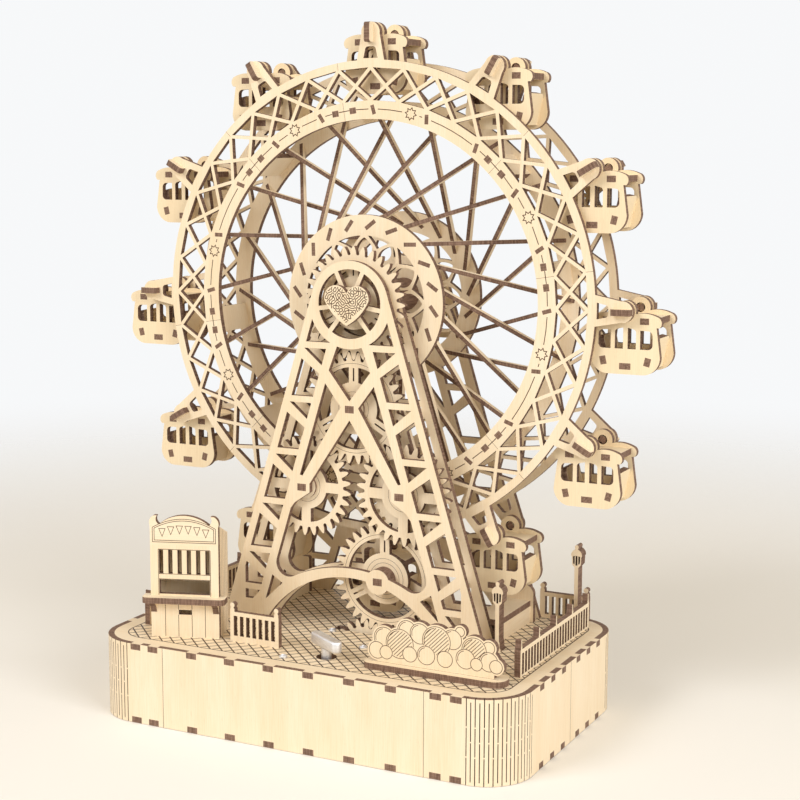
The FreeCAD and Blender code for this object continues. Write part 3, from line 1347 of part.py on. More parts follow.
def movement():
    """The wind-up music movement under the deck, its key, and its three screws."""
    bed_z = DECK - PLY - size("bed_thick")
    x, y = size("key_x"), size("key_y")
    drum_x, drum_z = size("drive_x"), size("drive_z")
    holes = [disc(size("screw_radius") + size("tab_play"), place) for place in screw_places()]
    holes.append(disc(size("arbor_radius") + size("running_play"), (x, y)))
    outline = rounded([(x - 22.0, y - 14.0), (x + 21.0, y - 14.0), (x + 21.0, y + 42.0), (x - 22.0, y + 42.0)], 4.0)
    bed = plate("movement_bedplate", "XY_Plane", [outline] + holes,
                {"z": "Sizes.base_tall - Sizes.ply - Sizes.bed_thick"}, "Sizes.bed_thick")
    keep(bed)
    barrel = cut("movement_barrel", post("barrel_round", "10.5", "12", {"x": "Sizes.key_x", "y": "Sizes.key_y"}),
                 post("barrel_bore", "Sizes.arbor_radius + Sizes.running_play", "12",
                      {"x": "Sizes.key_x", "y": "Sizes.key_y"}))
    for member in (barrel.Base, barrel.Tool):
        member.Placement.Base.z = bed_z - 12.0
    governor = block("movement_governor_box", "9", "12", "12", {})
    governor.Placement.Base = FreeCAD.Vector(x - 21.0, y + 12.0, bed_z - 12.0)
    shaft_bore = size("arbor_radius") + size("running_play")
    bearings = []
    for index, near in enumerate((y + 11.0, y + 37.0)):
        block_outline = [box(-4.0, -4.0, 4.0, bed_z - drum_z), disc(shaft_bore)]
        bearing = plate("movement_bearing_%d" % (index + 1), "XZ_Plane", block_outline, {})
        bearing.Placement.Base = FreeCAD.Vector(drum_x, near, drum_z)
        bearings.append(bearing)
    keep(group("movement_works", [barrel, governor] + bearings))
    comb = block("comb_plate", "16", "20", "1.2", {})
    comb.Placement.Base = FreeCAD.Vector(drum_x + size("drum_radius") + 0.6, y + 15.5, drum_z - 0.6)
    riser = block("comb_riser", "6", "20", "1", {})
    riser.setExpression("Height", "%.6f" % (bed_z - drum_z - 0.6))
    riser.Placement.Base = FreeCAD.Vector(drum_x + size("drum_radius") + 10.6, y + 15.5, drum_z + 0.6)
    keep(group("movement_comb", [comb, riser]))
    drum = rod("movement_drum_body", "Sizes.drum_radius", "20", {"x": "Sizes.drive_x", "z": "Sizes.drive_z"})
    drum.Placement.Base.y = y + 15.5
    shaft = rod("movement_shaft", "Sizes.arbor_radius", "%.6f" % (size("gear_back_y") + PLY + 0.5 - y - 11.0),
                {"x": "Sizes.drive_x", "z": "Sizes.drive_z"})
    shaft.Placement.Base.y = y + 11.0
    keep(fuse("movement_drum", [drum, shaft]))
    screws = []
    for index, (sx, sy) in enumerate(screw_places()):
        shank = post("screw_shank_%d" % (index + 1), "Sizes.screw_radius", "7", {})
        shank.Placement.Base = FreeCAD.Vector(sx, sy, DECK - 6.5)
        head = post("screw_head_%d" % (index + 1), "Sizes.screw_head", "1.6", {"z": "Sizes.base_tall"})
        head.Placement.Base = FreeCAD.Vector(sx, sy, DECK)
        screws.append(fuse("movement_screw_%d" % (index + 1), [shank, head]))
    keep(group("movement_screws", screws))
    keep(winding_key())


def winding_key():
    """The steel key on its arbor: a bar with round ends on a short stem."""
    half, wide = size("key_span") / 2, size("key_wide") / 2
    bar_plan = [(-half + wide, -wide), (half - wide, -wide), ("arc", (half, 0.0), (half - wide, wide)),
                (-half + wide, wide), ("arc", (-half, 0.0), (-half + wide, -wide))]
    handle = plate("key_bar", "XY_Plane", [turned(bar_plan, -size("key_turn"))],
                   {"x": "Sizes.key_x", "y": "Sizes.key_y", "z": "Sizes.base_tall + Sizes.key_rise"},
                   "Sizes.key_tall")
    arbor = post("key_arbor", "Sizes.arbor_radius", "Sizes.key_rise + 14.5",
                 {"x": "Sizes.key_x", "y": "Sizes.key_y", "z": "Sizes.base_tall - 13"})
    stem = post("key_stem", "Sizes.key_stem", "Sizes.key_rise + 1.5",
                {"x": "Sizes.key_x", "y": "Sizes.key_y", "z": "Sizes.base_tall - 1.5"})
    return fuse("winding_key", [arbor, stem, handle])


# -------------------------------------------------------------------- scenery

def in_booth(item, right, back, up):
    """Puts a board of the booth in its place and turns it with the booth."""
    turn = math.radians(size("booth_turn"))
    item.Placement.Rotation = FreeCAD.Rotation(FreeCAD.Vector(0, 0, 1), size("booth_turn"))
    item.Placement.Base = FreeCAD.Vector(size("booth_x") + right * math.cos(turn) - back * math.sin(turn),
                                         size("booth_y") + right * math.sin(turn) + back * math.cos(turn),
                                         DECK + up)
    return item


def booth_window(wide, top):
    """Openings of the window frame: the counter's hatch and six gaps between five bars."""
    jamb, bar_wide = size("booth_jamb"), size("booth_bar")
    clear = (wide - 2 * jamb - 5 * bar_wide) / 6
    hatch = box(jamb, size("counter_z") + PLY + 0.9, wide - jamb, 29.2)
    lefts = [jamb + index * (clear + bar_wide) for index in range(6)]
    return [hatch] + [box(left, 32.2, left + clear, top - 2.3) for left in lefts]


def booth_sign(wide, top, sign_top):
    """The sign: an arched top between two horns."""
    right = [(wide, top), (wide, top + 9.5), ("arc", (wide + 0.1, top + 12.4), (wide - 2.2, sign_top - 0.2)),
             (wide - 3.7, sign_top - 0.2), ("arc", (wide - 3.2, top + 12.2), (wide - 4.6, top + 10.4))]
    left = [(4.6, top + 10.4), ("arc", (3.2, top + 12.2), (3.7, sign_top - 0.2)), (2.2, sign_top - 0.2),
            ("arc", (-0.1, top + 12.4), (0.0, top + 9.5))]
    sign = [(0.0, top)] + right + [("arc", (wide / 2, sign_top), left[0])] + left[1:]
    return plate("booth_sign", "XZ_Plane", [sign], {})


def booth_walls(wide, deep):
    """Side walls that fall to the back, the back board, and the roof board between them."""
    front_top, back_top = size("booth_front_top"), size("booth_back_top")
    fall = (front_top - back_top) / (deep - PLY)
    thick = PLY * math.hypot(1.0, fall)
    side = [(PLY, 0.0), (deep, 0.0), (deep, back_top), (PLY, front_top)]
    roof_back = front_top - fall * (deep - 2 * PLY)
    roof = [(PLY, front_top - thick), (deep - PLY, roof_back - thick), (deep - PLY, roof_back), (PLY, front_top)]
    walls = [in_booth(plate("booth_wall_left", "YZ_Plane", [side], {}), 0, 0, 0),
             in_booth(plate("booth_wall_right", "YZ_Plane", [side], {}), wide - PLY, 0, 0)]
    back = plate("booth_back", "XZ_Plane", [box(PLY, 0.0, wide - PLY, back_top)], {})
    walls.append(in_booth(back, 0, deep - PLY, 0))
    walls.append(in_booth(plate("booth_roof", "YZ_Plane", [roof], {}, "Sizes.booth_width - 2 * Sizes.ply"), PLY, 0, 0))
    return group("booth_walls", walls)


def booth():
    """The ticket booth: planked front, barred window, counter, walls, roof and sign."""
    wide, deep, counter = size("booth_width"), size("booth_deep"), size("counter_z")
    top, out = size("frame_top"), size("counter_out")
    slot = box(14.0, 11.6, 20.7, 14.0)
    lower = in_booth(plate("booth_lower", "XZ_Plane", [box(0.0, 0.0, wide, counter), slot], {}), 0, 0, 0)
    frame = plate("booth_frame", "XZ_Plane", [box(0.0, counter + PLY, wide, top)] + booth_window(wide, top), {})
    keep(group("booth_front", [lower, in_booth(frame, 0, 0, 0)]))
    reach = 3.6
    shelf = rounded([(-reach, -out), (wide + reach, -out), (wide + reach, PLY), (-reach, PLY)], [2.5, 2.5, 0, 0])
    board = in_booth(plate("booth_shelf", "XY_Plane", [shelf], {}), 0, 0, counter)
    brackets = []
    for side, x in (("left", 0.0), ("right", wide - PLY)):
        outline = [(-out + 0.8, counter), (-1.6, counter - 2.2), (0.0, counter - 5.5), (0.0, counter)]
        bracket = plate("booth_bracket_" + side, "YZ_Plane", [outline], {})
        brackets.append(in_booth(bracket, x, 0, 0))
    keep(group("booth_counter", [board] + brackets))
    keep(booth_walls(wide, deep))
    keep(in_booth(booth_sign(wide, top, size("sign_top")), 0, 0, 0))


def spire(middle, rail, top):
    """A slim pointed post on a fence's rail, from right to left."""
    return [(middle + 0.8, rail), (middle + 0.8, rail + 1.0), (middle + 0.45, rail + 1.7), (middle + 0.45, top - 0.45),
            ("arc", (middle, top), (middle - 0.45, top - 0.45)), (middle - 0.45, rail + 1.7),
            (middle - 0.8, rail + 1.0), (middle - 0.8, rail)]


def ball_post(middle, rail, top):
    """A post with a ball on a neck on a fence's rail, from right to left."""
    return [(middle + 1.2, rail), (middle + 1.2, top - 3.2), (middle + 0.6, top - 2.4),
            ("arc", (middle, top), (middle - 0.6, top - 2.4)), (middle - 1.2, top - 3.2), (middle - 1.2, rail)]


def fence(name, plane, corner, aliases, bays, finial):
    """A picket fence on the deck from its left corner.

    aliases name its length, the tops of rail and posts, the foot of its gaps, their
    width and their pitch.
    """
    length, rail, top, foot, gap, pitch = [size(alias) for alias in aliases]
    end = 1.3
    posts = [end + index * (length - 2 * end) / bays for index in range(bays + 1)]
    outline = [(0.0, 0.0), (length, 0.0), (length, rail)]
    for middle in reversed(posts):
        outline += finial(middle, rail, top)
    outline.append((0.0, rail))
    gaps = []
    for first, last in zip(posts, posts[1:]):
        count = round((last - first) / pitch)
        left = (first + last - (count - 1) * pitch - gap) / 2
        for index in range(count):
            start = left + index * pitch
            gaps.append(box(start, foot, start + gap, rail - 2.0))
    board = plate(name, plane, [outline] + gaps, {"z": "Sizes.base_tall"})
    board.Placement.Base.x = corner[0]
    board.Placement.Base.y = corner[1]
    return board


def fences():
    """The four picket fences that stand on the deck."""
    bays = int(size("fence_bays"))
    side = ("fence_length", "fence_rail", "fence_post", "fence_foot", "picket_gap", "picket_pitch")
    small = ("small_fence_length", "small_fence_rail", "small_fence_post", "small_fence_foot", "small_fence_gap",
             "small_fence_pitch")
    rear = ("back_fence_length", "back_fence_rail", "back_fence_post", "back_fence_foot", "back_fence_gap",
            "back_fence_pitch")
    keep(fence("small_fence", "XZ_Plane", (-47.3, -46.0), small, 1, ball_post))
    keep(fence("side_fence", "YZ_Plane", (98.0, -34.3), side, bays, spire))
    keep(fence("left_fence", "YZ_Plane", (-98.0 - PLY, -41.3), side, bays, spire))
    keep(fence("back_fence", "XZ_Plane", (71.3, 65.4), rear, 1, ball_post))


def lamp_outlines(tall):
    """A street lamp: foot, post, lantern with three slots, dome and ball."""
    right = [(2.0, 0.0), (2.0, 0.9), (1.4, 1.6), (1.4, 4.2), (1.0, 5.0), (1.0, tall - 11.7), (2.3, tall - 10.2),
             (2.5, tall - 6.2), (2.9, tall - 5.6), ("arc", (2.3, tall - 3.5), (0.7, tall - 2.3)), (1.0, tall - 1.2),
             ("arc", (0.0, tall), (-1.0, tall - 1.2))]
    left = [(-0.7, tall - 2.3), ("arc", (-2.3, tall - 3.5), (-2.9, tall - 5.6)), (-2.5, tall - 6.2),
            (-2.3, tall - 10.2), (-1.0, tall - 11.7), (-1.0, 5.0), (-1.4, 4.2), (-1.4, 1.6), (-2.0, 0.9), (-2.0, 0.0)]
    slot = [(0.95, tall - 9.9), (1.75, tall - 9.7), (1.95, tall - 5.9), (0.95, tall - 5.7)]
    return [right + left, box(-0.5, tall - 10.6, 0.5, tall - 5.6)] + both_sides([slot])


def lamps():
    """The two street lamps, each of two boards glued face to face."""
    front = plate("lamp_front", "XZ_Plane", lamp_outlines(size("lamp_tall")), {"z": "Sizes.base_tall"},
                  "2 * Sizes.ply")
    front.Placement.Base.x = size("leg_foot") + 2.4
    front.Placement.Base.y = -1.5
    back = plate("lamp_back", "XZ_Plane", lamp_outlines(size("back_lamp_tall")), {"z": "Sizes.base_tall"},
                 "2 * Sizes.ply")
    back.Placement.Base.x = 93.3
    back.Placement.Base.y = 58.5
    return group("street_lamps", [front, back])


def planter():
    """The planter board on the deck."""
    half, deep = size("planter_width") / 2, size("planter_deep")
    outline = rounded([(-half, 0.0), (half, 0.0), (half, deep), (-half, deep)], [4.0, 6.0, 6.0, 4.0])
    board = plate("planter_board", "XY_Plane", [outline], {"x": "Sizes.planter_x", "y": "Sizes.planter_y",
                                                           "z": "Sizes.base_tall"})
    return board


# Middle and radius of each puff of the bush, from the planter's left end and its top.
PUFFS = [(5.7, 5.1, 4.9), (10.5, 4.6, 4.1), (9.5, 11.3, 6.1), (17.5, 9.6, 7.9), (21.2, 16.5, 5.6), (22.7, 5.3, 4.5),
         (27.7, 15.8, 5.7), (31.0, 6.0, 5.3), (36.2, 13.3, 7.9), (40.5, 5.5, 4.7), (44.2, 15.3, 5.5), (48.0, 19.5, 3.1),
         (55.0, 11.6, 6.9), (50.7, 7.1, 5.5), (56.2, 5.3, 3.8), (62.2, 7.3, 5.4), (62.2, 13.8, 3.8), (65.8, 5.5, 4.0)]


def bush():
    """The flower bush: a flat board with a scalloped top, standing on the planter."""
    left, scale = size("planter_x") - size("planter_width") / 2, size("bush_tall") / 22.6
    face = size("planter_y") + 8.0
    members = []
    for index, (x, z, radius) in enumerate(PUFFS):
        lobe = post("bush_lobe_%d" % (index + 1), "%.4f" % (radius * scale), "Sizes.ply", {})
        lobe.Placement.Rotation = FreeCAD.Rotation(FreeCAD.Vector(1, 0, 0), 90)
        lobe.Placement.Base = FreeCAD.Vector(left + x, face, DECK + PLY + z * scale)
        members.append(lobe)
    body = block("bush_body", "Sizes.planter_width - 12", "Sizes.ply", "%.4f" % (11.0 * scale),
                 {"x": "Sizes.planter_x - Sizes.planter_width / 2 + 6"})
    body.Placement.Base.y = face - PLY
    body.Placement.Base.z = DECK + PLY
    floor = block("bush_floor", "Sizes.planter_width", "3 * Sizes.ply", "2 * Sizes.ply",
                  {"x": "Sizes.planter_x - Sizes.planter_width / 2"})
    floor.Placement.Base.y = face - 2 * PLY
    floor.Placement.Base.z = DECK - PLY
    return cut("flower_bush", fuse("bush_whole", members + [body]), floor)


def platforms():
    """The two boarding platforms beside the wheel, between the towers."""
    out, inner, top = size("platform_out"), size("platform_in"), size("platform_top")
    near, far = size("inner_plate_y") + PLY + 6.0, size("platform_far")
    boards = []
    for side, sign in (("right", 1), ("left", -1)):
        left = inner if sign > 0 else -out
        floor = plate("platform_floor_" + side, "XY_Plane", [box(left, near, left + out - inner, far - PLY)], {})
        floor.Placement.Base.z = DECK + top - PLY
        boards.append(floor)
        for name, x in (("outer", out - PLY), ("inner", inner)):
            at = x if sign > 0 else -x - PLY
            wall = plate("platform_wall_%s_%s" % (name, side), "YZ_Plane", [box(near, 0.0, far - PLY, top - PLY)], {})
            wall.Placement.Base = FreeCAD.Vector(at, 0, DECK)
            boards.append(wall)
        panel = rounded([(inner, 0.0), (out + 1.5, 0.0), (out + 1.5, top + 8.0), (inner, top + 8.0)], [0, 0, 5.0, 1.0])
        if sign < 0:
            panel = mirrored(panel)
        back = plate("platform_back_" + side, "XZ_Plane", [panel], {"z": "Sizes.base_tall"})
        back.Placement.Base.y = far - PLY
        boards.append(back)
    return group("boarding_platforms", boards)


def scenery():
    booth()
    fences()
    keep(lamps())
    keep(planter())
    keep(bush())
    keep(platforms())


# ---------------------------------------------------------------------- build

base_box()
towers()
gear_train()
keep(axle_strips())
keep(gear_bushes())
movement()
wheel()
gondola_ring()
scenery()
doc.recompute()

for item in doc.Objects:
    if "Invalid" in item.State or "Error" in item.State:
        raise RuntimeError("%s did not recompute" % item.Name)
for item in nodes:
    if item.Shape.isNull() or not item.Shape.isValid():
        raise RuntimeError("%s has no valid shape" % item.Label)
for item in nodes:
    item.Shape.exportStep("parts/%s.step" % item.Label)
whole = FreeCAD.BoundBox()
for item in nodes:
    whole.add(item.Shape.BoundBox)
print("%d nodes, box %s" % (len(nodes), whole))
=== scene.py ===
import math

import bpy
import numpy as np
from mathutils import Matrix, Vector


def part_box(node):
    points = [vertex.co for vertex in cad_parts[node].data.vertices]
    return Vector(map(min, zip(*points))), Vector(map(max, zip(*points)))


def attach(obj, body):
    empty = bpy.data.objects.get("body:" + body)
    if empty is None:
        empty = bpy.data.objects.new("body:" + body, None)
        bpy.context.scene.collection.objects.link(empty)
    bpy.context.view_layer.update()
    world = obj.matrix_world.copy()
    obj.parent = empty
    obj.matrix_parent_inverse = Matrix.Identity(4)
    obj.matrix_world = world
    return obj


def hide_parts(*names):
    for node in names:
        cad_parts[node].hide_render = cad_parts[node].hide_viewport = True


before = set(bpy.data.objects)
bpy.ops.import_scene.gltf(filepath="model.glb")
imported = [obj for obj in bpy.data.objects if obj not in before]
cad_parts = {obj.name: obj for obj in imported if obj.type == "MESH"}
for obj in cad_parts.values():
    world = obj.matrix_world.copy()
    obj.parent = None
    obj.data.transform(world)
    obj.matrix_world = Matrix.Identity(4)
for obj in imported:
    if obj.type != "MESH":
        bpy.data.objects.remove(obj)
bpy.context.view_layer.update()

RIGHT, LEFT = (1.0, 0.0, 0.0), (-1.0, 0.0, 0.0)
BACK, FRONT = (0.0, 1.0, 0.0), (0.0, -1.0, 0.0)
UP = (0.0, 0.0, 1.0)
BASE_HALF_WIDTH, BASE_HALF_DEPTH, DECK_TOP = 0.113, 0.072, 0.040
PANEL_SEAM = 0.070

# ---------------------------------------------------------------- the base box
# The base is a laser-cut box of 3 mm birch ply: deck and bottom boards with tabs
# out through the walls, two flat panels, and four corner walls that bend because
# they are slit through in staggered rows. Cut edges are burnt brown.


def read_triangles(mesh):
    """Corner positions and vertex numbers of a mesh that is all triangles."""
    points = np.empty(len(mesh.vertices) * 3)
    mesh.vertices.foreach_get("co", points)
    corners = np.empty(len(mesh.loops), dtype=np.int64)
    mesh.loops.foreach_get("vertex_index", corners)
    return points.reshape(-1, 3), corners.reshape(-1, 3)


def joined_groups(corners, points):
    """Numbers the boards of a mesh: triangles that share an edge two by two are one board.

    Each edge gets a key from its two welded ends. The group number of a triangle
    is the least number that reaches it over such edges.
    """
    welded = np.unique(np.round(points * 1e6).astype(np.int64), axis=0, return_inverse=True)[1].reshape(-1)
    ends = welded[corners][:, [[0, 1], [1, 2], [2, 0]]].reshape(-1, 2)
    keys = np.sort(ends, axis=1)
    owner = np.repeat(np.arange(len(corners)), 3)
    numbers, counts = np.unique(keys, axis=0, return_inverse=True, return_counts=True)[1:]
    order = np.argsort(numbers.reshape(-1), kind="stable")
    starts = np.concatenate([[0], np.cumsum(counts)[:-1]])[counts == 2]
    left, right = owner[order[starts]], owner[order[starts + 1]]
    group = np.arange(len(corners))
    while True:
        least = np.minimum(group[left], group[right])
        fresh = group.copy()
        np.minimum.at(fresh, left, least)
        np.minimum.at(fresh, right, least)
        fresh = fresh[fresh]
        if np.array_equal(fresh, group):
            return np.unique(group, return_inverse=True)[1].reshape(-1)
        group = fresh


def store(mesh, name, kind, domain, values):
    """Writes an array of values as a named attribute of the mesh."""
    layer = mesh.attributes.new(name, kind, domain)
    layer.data.foreach_set("vector" if kind == "FLOAT_VECTOR" else "value", np.ravel(values).astype(np.float32))


def mark_boards(thing, seed=0, face=None):
    """Tells the ply material how each board of a node lies, and moves no vertex.

    A board's own direction is face, or else the one that most of its area faces.
    "board" holds each point as (along the grain, across it, through the thickness),
    "cut" is 1 on the burnt edges, and "tone" is one shade for each board.
    """
    mesh = thing.data
    points, corners = read_triangles(mesh)
    group = joined_groups(corners, points)
    sides = np.cross(points[corners[:, 1]] - points[corners[:, 0]], points[corners[:, 2]] - points[corners[:, 0]])
    area = np.linalg.norm(sides, axis=1) + 1e-15
    normal = sides / area[:, None]
    place = np.zeros_like(points)
    cut = np.ones(len(corners))
    tone = np.zeros(len(corners))
    shades = np.random.default_rng(seed).random(group.max() + 1)
    for number in range(group.max() + 1):
        mine = group == number
        facing = np.round(normal[mine], 2)
        leading = np.where(np.abs(facing[:, 0]) > 0.05, facing[:, 0],
                           np.where(np.abs(facing[:, 1]) > 0.05, facing[:, 1], facing[:, 2]))
        facing = facing * np.sign(leading)[:, None]
        kinds, which = np.unique(facing, axis=0, return_inverse=True)
        flat = kinds[np.bincount(which.reshape(-1), area[mine]).argmax()] if face is None else np.array(face)
        flat = flat / np.linalg.norm(flat)
        own = points[np.unique(corners[mine])]
        depth = own @ flat
        middle = own.mean(axis=0)
        spread = (own - middle) - np.outer((own - middle) @ flat, flat)
        reach, ways = np.linalg.eigh(spread.T @ spread)
        if reach[2] > 16 * reach[1]:
            along = ways[:, 2]
        else:
            upright = np.array([0.0, 0.0, 1.0]) if abs(flat[2]) < 0.7 else np.array([1.0, 0.0, 0.0])
            along = upright - (upright @ flat) * flat
        along = along / np.linalg.norm(along)
        across = np.cross(flat, along)
        through = (depth.max() + depth.min()) / 2
        vertices = np.unique(corners[mine])
        place[vertices] = np.stack([points[vertices] @ along + 0.4 * number, points[vertices] @ across + 0.3 * number,
                                    points[vertices] @ flat - through], axis=1)
        if depth.max() - depth.min() > 0.0002:
            cut[mine] = (np.abs(normal[mine] @ flat) < 0.94).astype(float)
        tone[mine] = shades[number]
    store(mesh, "board", "FLOAT_VECTOR", "POINT", place)
    store(mesh, "cut", "FLOAT", "FACE", cut)
    store(mesh, "tone", "FLOAT", "FACE", tone)


def put(tree, kind, *inputs, **settings):
    """Adds a node, links or sets its inputs in order, and returns its first output."""
    node = tree.nodes.new(kind)
    for name, value in settings.items():
        setattr(node, name, value)
    for socket, value in zip([s for s in node.inputs if s.enabled], inputs):
        if isinstance(value, bpy.types.NodeSocket):
            tree.links.new(value, socket)
        elif value is not None:
            socket.default_value = value
    return node.outputs[0]


def maths(tree, operation, *inputs):
    return put(tree, "ShaderNodeMath", *inputs, operation=operation)


def blend_colours(tree, share, first, second):
    """Mixes two colours, which may be links or plain values."""
    node = tree.nodes.new("ShaderNodeMix")
    node.data_type = "RGBA"
    for socket, value in ((node.inputs[0], share), (node.inputs[6], first), (node.inputs[7], second)):
        if isinstance(value, bpy.types.NodeSocket):
            tree.links.new(value, socket)
        else:
            socket.default_value = value
    return node.outputs[2]


def attribute(tree, name, output):
    node = tree.nodes.new("ShaderNodeAttribute")
    node.attribute_name = name
    return node.outputs[output]


def stretched_noise(tree, place, scale, detail, roughness):
    """Noise on the board's own coordinates, drawn out by a scale for each direction."""
    mapped = put(tree, "ShaderNodeMapping", place, None, None, scale)
    node = tree.nodes.new("ShaderNodeTexNoise")
    tree.links.new(mapped, node.inputs["Vector"])
    node.inputs["Scale"].default_value = 1.0
    node.inputs["Detail"].default_value = detail
    node.inputs["Roughness"].default_value = roughness
    return node.outputs[0]


def ramp(tree, value, low, high):
    """0 at low, 1 at high, smooth between."""
    node = tree.nodes.new("ShaderNodeMapRange")
    node.interpolation_type = "SMOOTHSTEP"
    tree.links.new(value, node.inputs[0])
    node.inputs[1].default_value = low
    node.inputs[2].default_value = high
    return node.outputs[0]


def birch_ply(name, pale=(0.915, 0.80, 0.625, 1), warm=(0.825, 0.665, 0.45, 1), engraving=None):
    """Birch ply: fine grain and flecks on the faces, burnt and layered on the cut edges.

    engraving is a function of the node tree that returns where lines are burnt in.
    """
    material = bpy.data.materials.new(name)
    material.use_nodes = True
    tree = material.node_tree
    shader = tree.nodes["Principled BSDF"]
    place, cut, tone = attribute(tree, "board", 1), attribute(tree, "cut", 2), attribute(tree, "tone", 2)
    fine = stretched_noise(tree, place, (60, 1500, 60), 5, 0.6)
    broad = stretched_noise(tree, place, (9, 70, 9), 3, 0.5)
    fleck = ramp(tree, stretched_noise(tree, place, (260, 2600, 260), 2, 0.5), 0.66, 0.78)
    grain = maths(tree, "ADD", maths(tree, "MULTIPLY", ramp(tree, fine, 0.30, 0.72), 0.42),
                  maths(tree, "MULTIPLY", ramp(tree, broad, 0.35, 0.68), 0.38))
    grain = maths(tree, "ADD", grain, maths(tree, "MULTIPLY", tone, 0.16))
    face = blend_colours(tree, grain, pale, warm)
    face = blend_colours(tree, maths(tree, "MULTIPLY", fleck, 0.30), face, (0.52, 0.345, 0.18, 1))
    depth = put(tree, "ShaderNodeSeparateXYZ", place)
    through = maths(tree, "ABSOLUTE", depth.node.outputs[2])
    seam = maths(tree, "COMPARE", through, 0.00052, 0.00009)
    scorch = stretched_noise(tree, place, (1100, 1100, 120), 3, 0.6)
    edge = blend_colours(tree, ramp(tree, scorch, 0.30, 0.70), (0.135, 0.078, 0.055, 1), (0.285, 0.185, 0.135, 1))
    edge = blend_colours(tree, maths(tree, "MULTIPLY", seam, 0.55), edge, (0.100, 0.055, 0.038, 1))
    colour = blend_colours(tree, cut, face, edge)
    dent = maths(tree, "MULTIPLY", fine, 0.5)
    if engraving is not None:
        lines = engraving(tree, cut)
        colour = blend_colours(tree, lines, colour, (0.075, 0.042, 0.026, 1))
        dent = maths(tree, "SUBTRACT", dent, maths(tree, "MULTIPLY", lines, 1.6))
    tree.links.new(colour, shader.inputs["Base Color"])
    gloss = maths(tree, "ADD", maths(tree, "MULTIPLY", cut, 0.2), maths(tree, "MULTIPLY_ADD", fine, 0.16, 0.48))
    tree.links.new(gloss, shader.inputs["Roughness"])
    shader.inputs["Specular IOR Level"].default_value = 0.28
    bump = tree.nodes.new("ShaderNodeBump")
    bump.inputs["Strength"].default_value = 0.35
    bump.inputs["Distance"].default_value = 0.00012
    tree.links.new(dent, bump.inputs["Height"])
    tree.links.new(bump.outputs[0], shader.inputs["Normal"])
    return material


def deck_hatch(tree, cut):
    """Burnt lines on the deck's top: two sets at 45 degrees, 4.9 mm apart, in a rounded frame.

    The frame is the distance to a rectangle with rounded corners; the lines are
    where the distance along each diagonal, folded by the pitch, is near zero.
    """
    spot = put(tree, "ShaderNodeTexCoord").node
    split = put(tree, "ShaderNodeSeparateXYZ", spot.outputs["Object"]).node
    x, y, z = split.outputs
    half_x, half_y, corner, pitch, width = 0.103, 0.062, 0.013, 0.0049, 0.00036
    over_x = maths(tree, "MAXIMUM", maths(tree, "SUBTRACT", maths(tree, "ABSOLUTE", x), half_x - corner), 0.0)
    over_y = maths(tree, "MAXIMUM", maths(tree, "SUBTRACT", maths(tree, "ABSOLUTE", y), half_y - corner), 0.0)
    reach = maths(tree, "SQRT", maths(tree, "ADD", maths(tree, "MULTIPLY", over_x, over_x),
                                      maths(tree, "MULTIPLY", over_y, over_y)))
    off = maths(tree, "SUBTRACT", reach, corner)
    frame_line = maths(tree, "COMPARE", off, 0.0, 0.0003)
    inside = maths(tree, "LESS_THAN", off, 0.0)
    lines = frame_line
    for sign in (1.0, -1.0):
        slant = maths(tree, "MULTIPLY_ADD", y, sign, x)
        fold = maths(tree, "PINGPONG", slant, pitch * math.sqrt(2) / 2)
        hair = maths(tree, "LESS_THAN", fold, width * math.sqrt(2))
        lines = maths(tree, "MAXIMUM", lines, maths(tree, "MULTIPLY", hair, inside))
    top = maths(tree, "GREATER_THAN", z, 0.0399)
    return maths(tree, "MULTIPLY", maths(tree, "MULTIPLY", lines, top), maths(tree, "SUBTRACT", 1.0, cut))


def finish_in(node, material, seed=0, face=None):
    """Marks a node's boards and gives it a material."""
    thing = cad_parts[node]
    mark_boards(thing, seed, face)
    thing.data.materials.clear()
    thing.data.materials.append(material)


base_ply = birch_ply("base_birch_ply")
finish_in("base_front_panel", base_ply, 1)
finish_in("base_back_panel", base_ply, 2)
finish_in("base_bottom", base_ply, 3)
finish_in("base_deck", birch_ply("deck_birch_ply", engraving=deck_hatch), 4)


def new_piece(name, points, faces, material, body, smooth=False):
    """A mesh object from arrays, which rides on a body."""
    mesh = bpy.data.meshes.new(name)
    mesh.from_pydata(np.asarray(points, dtype=float), [], faces if isinstance(faces, list) else faces.tolist())
    mesh.polygons.foreach_set("use_smooth", [smooth] * len(mesh.polygons))
    mesh.update()
    thing = bpy.data.objects.new(name, mesh)
    bpy.context.scene.collection.objects.link(thing)
    mesh.materials.append(material)
    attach(thing, body)
    return thing


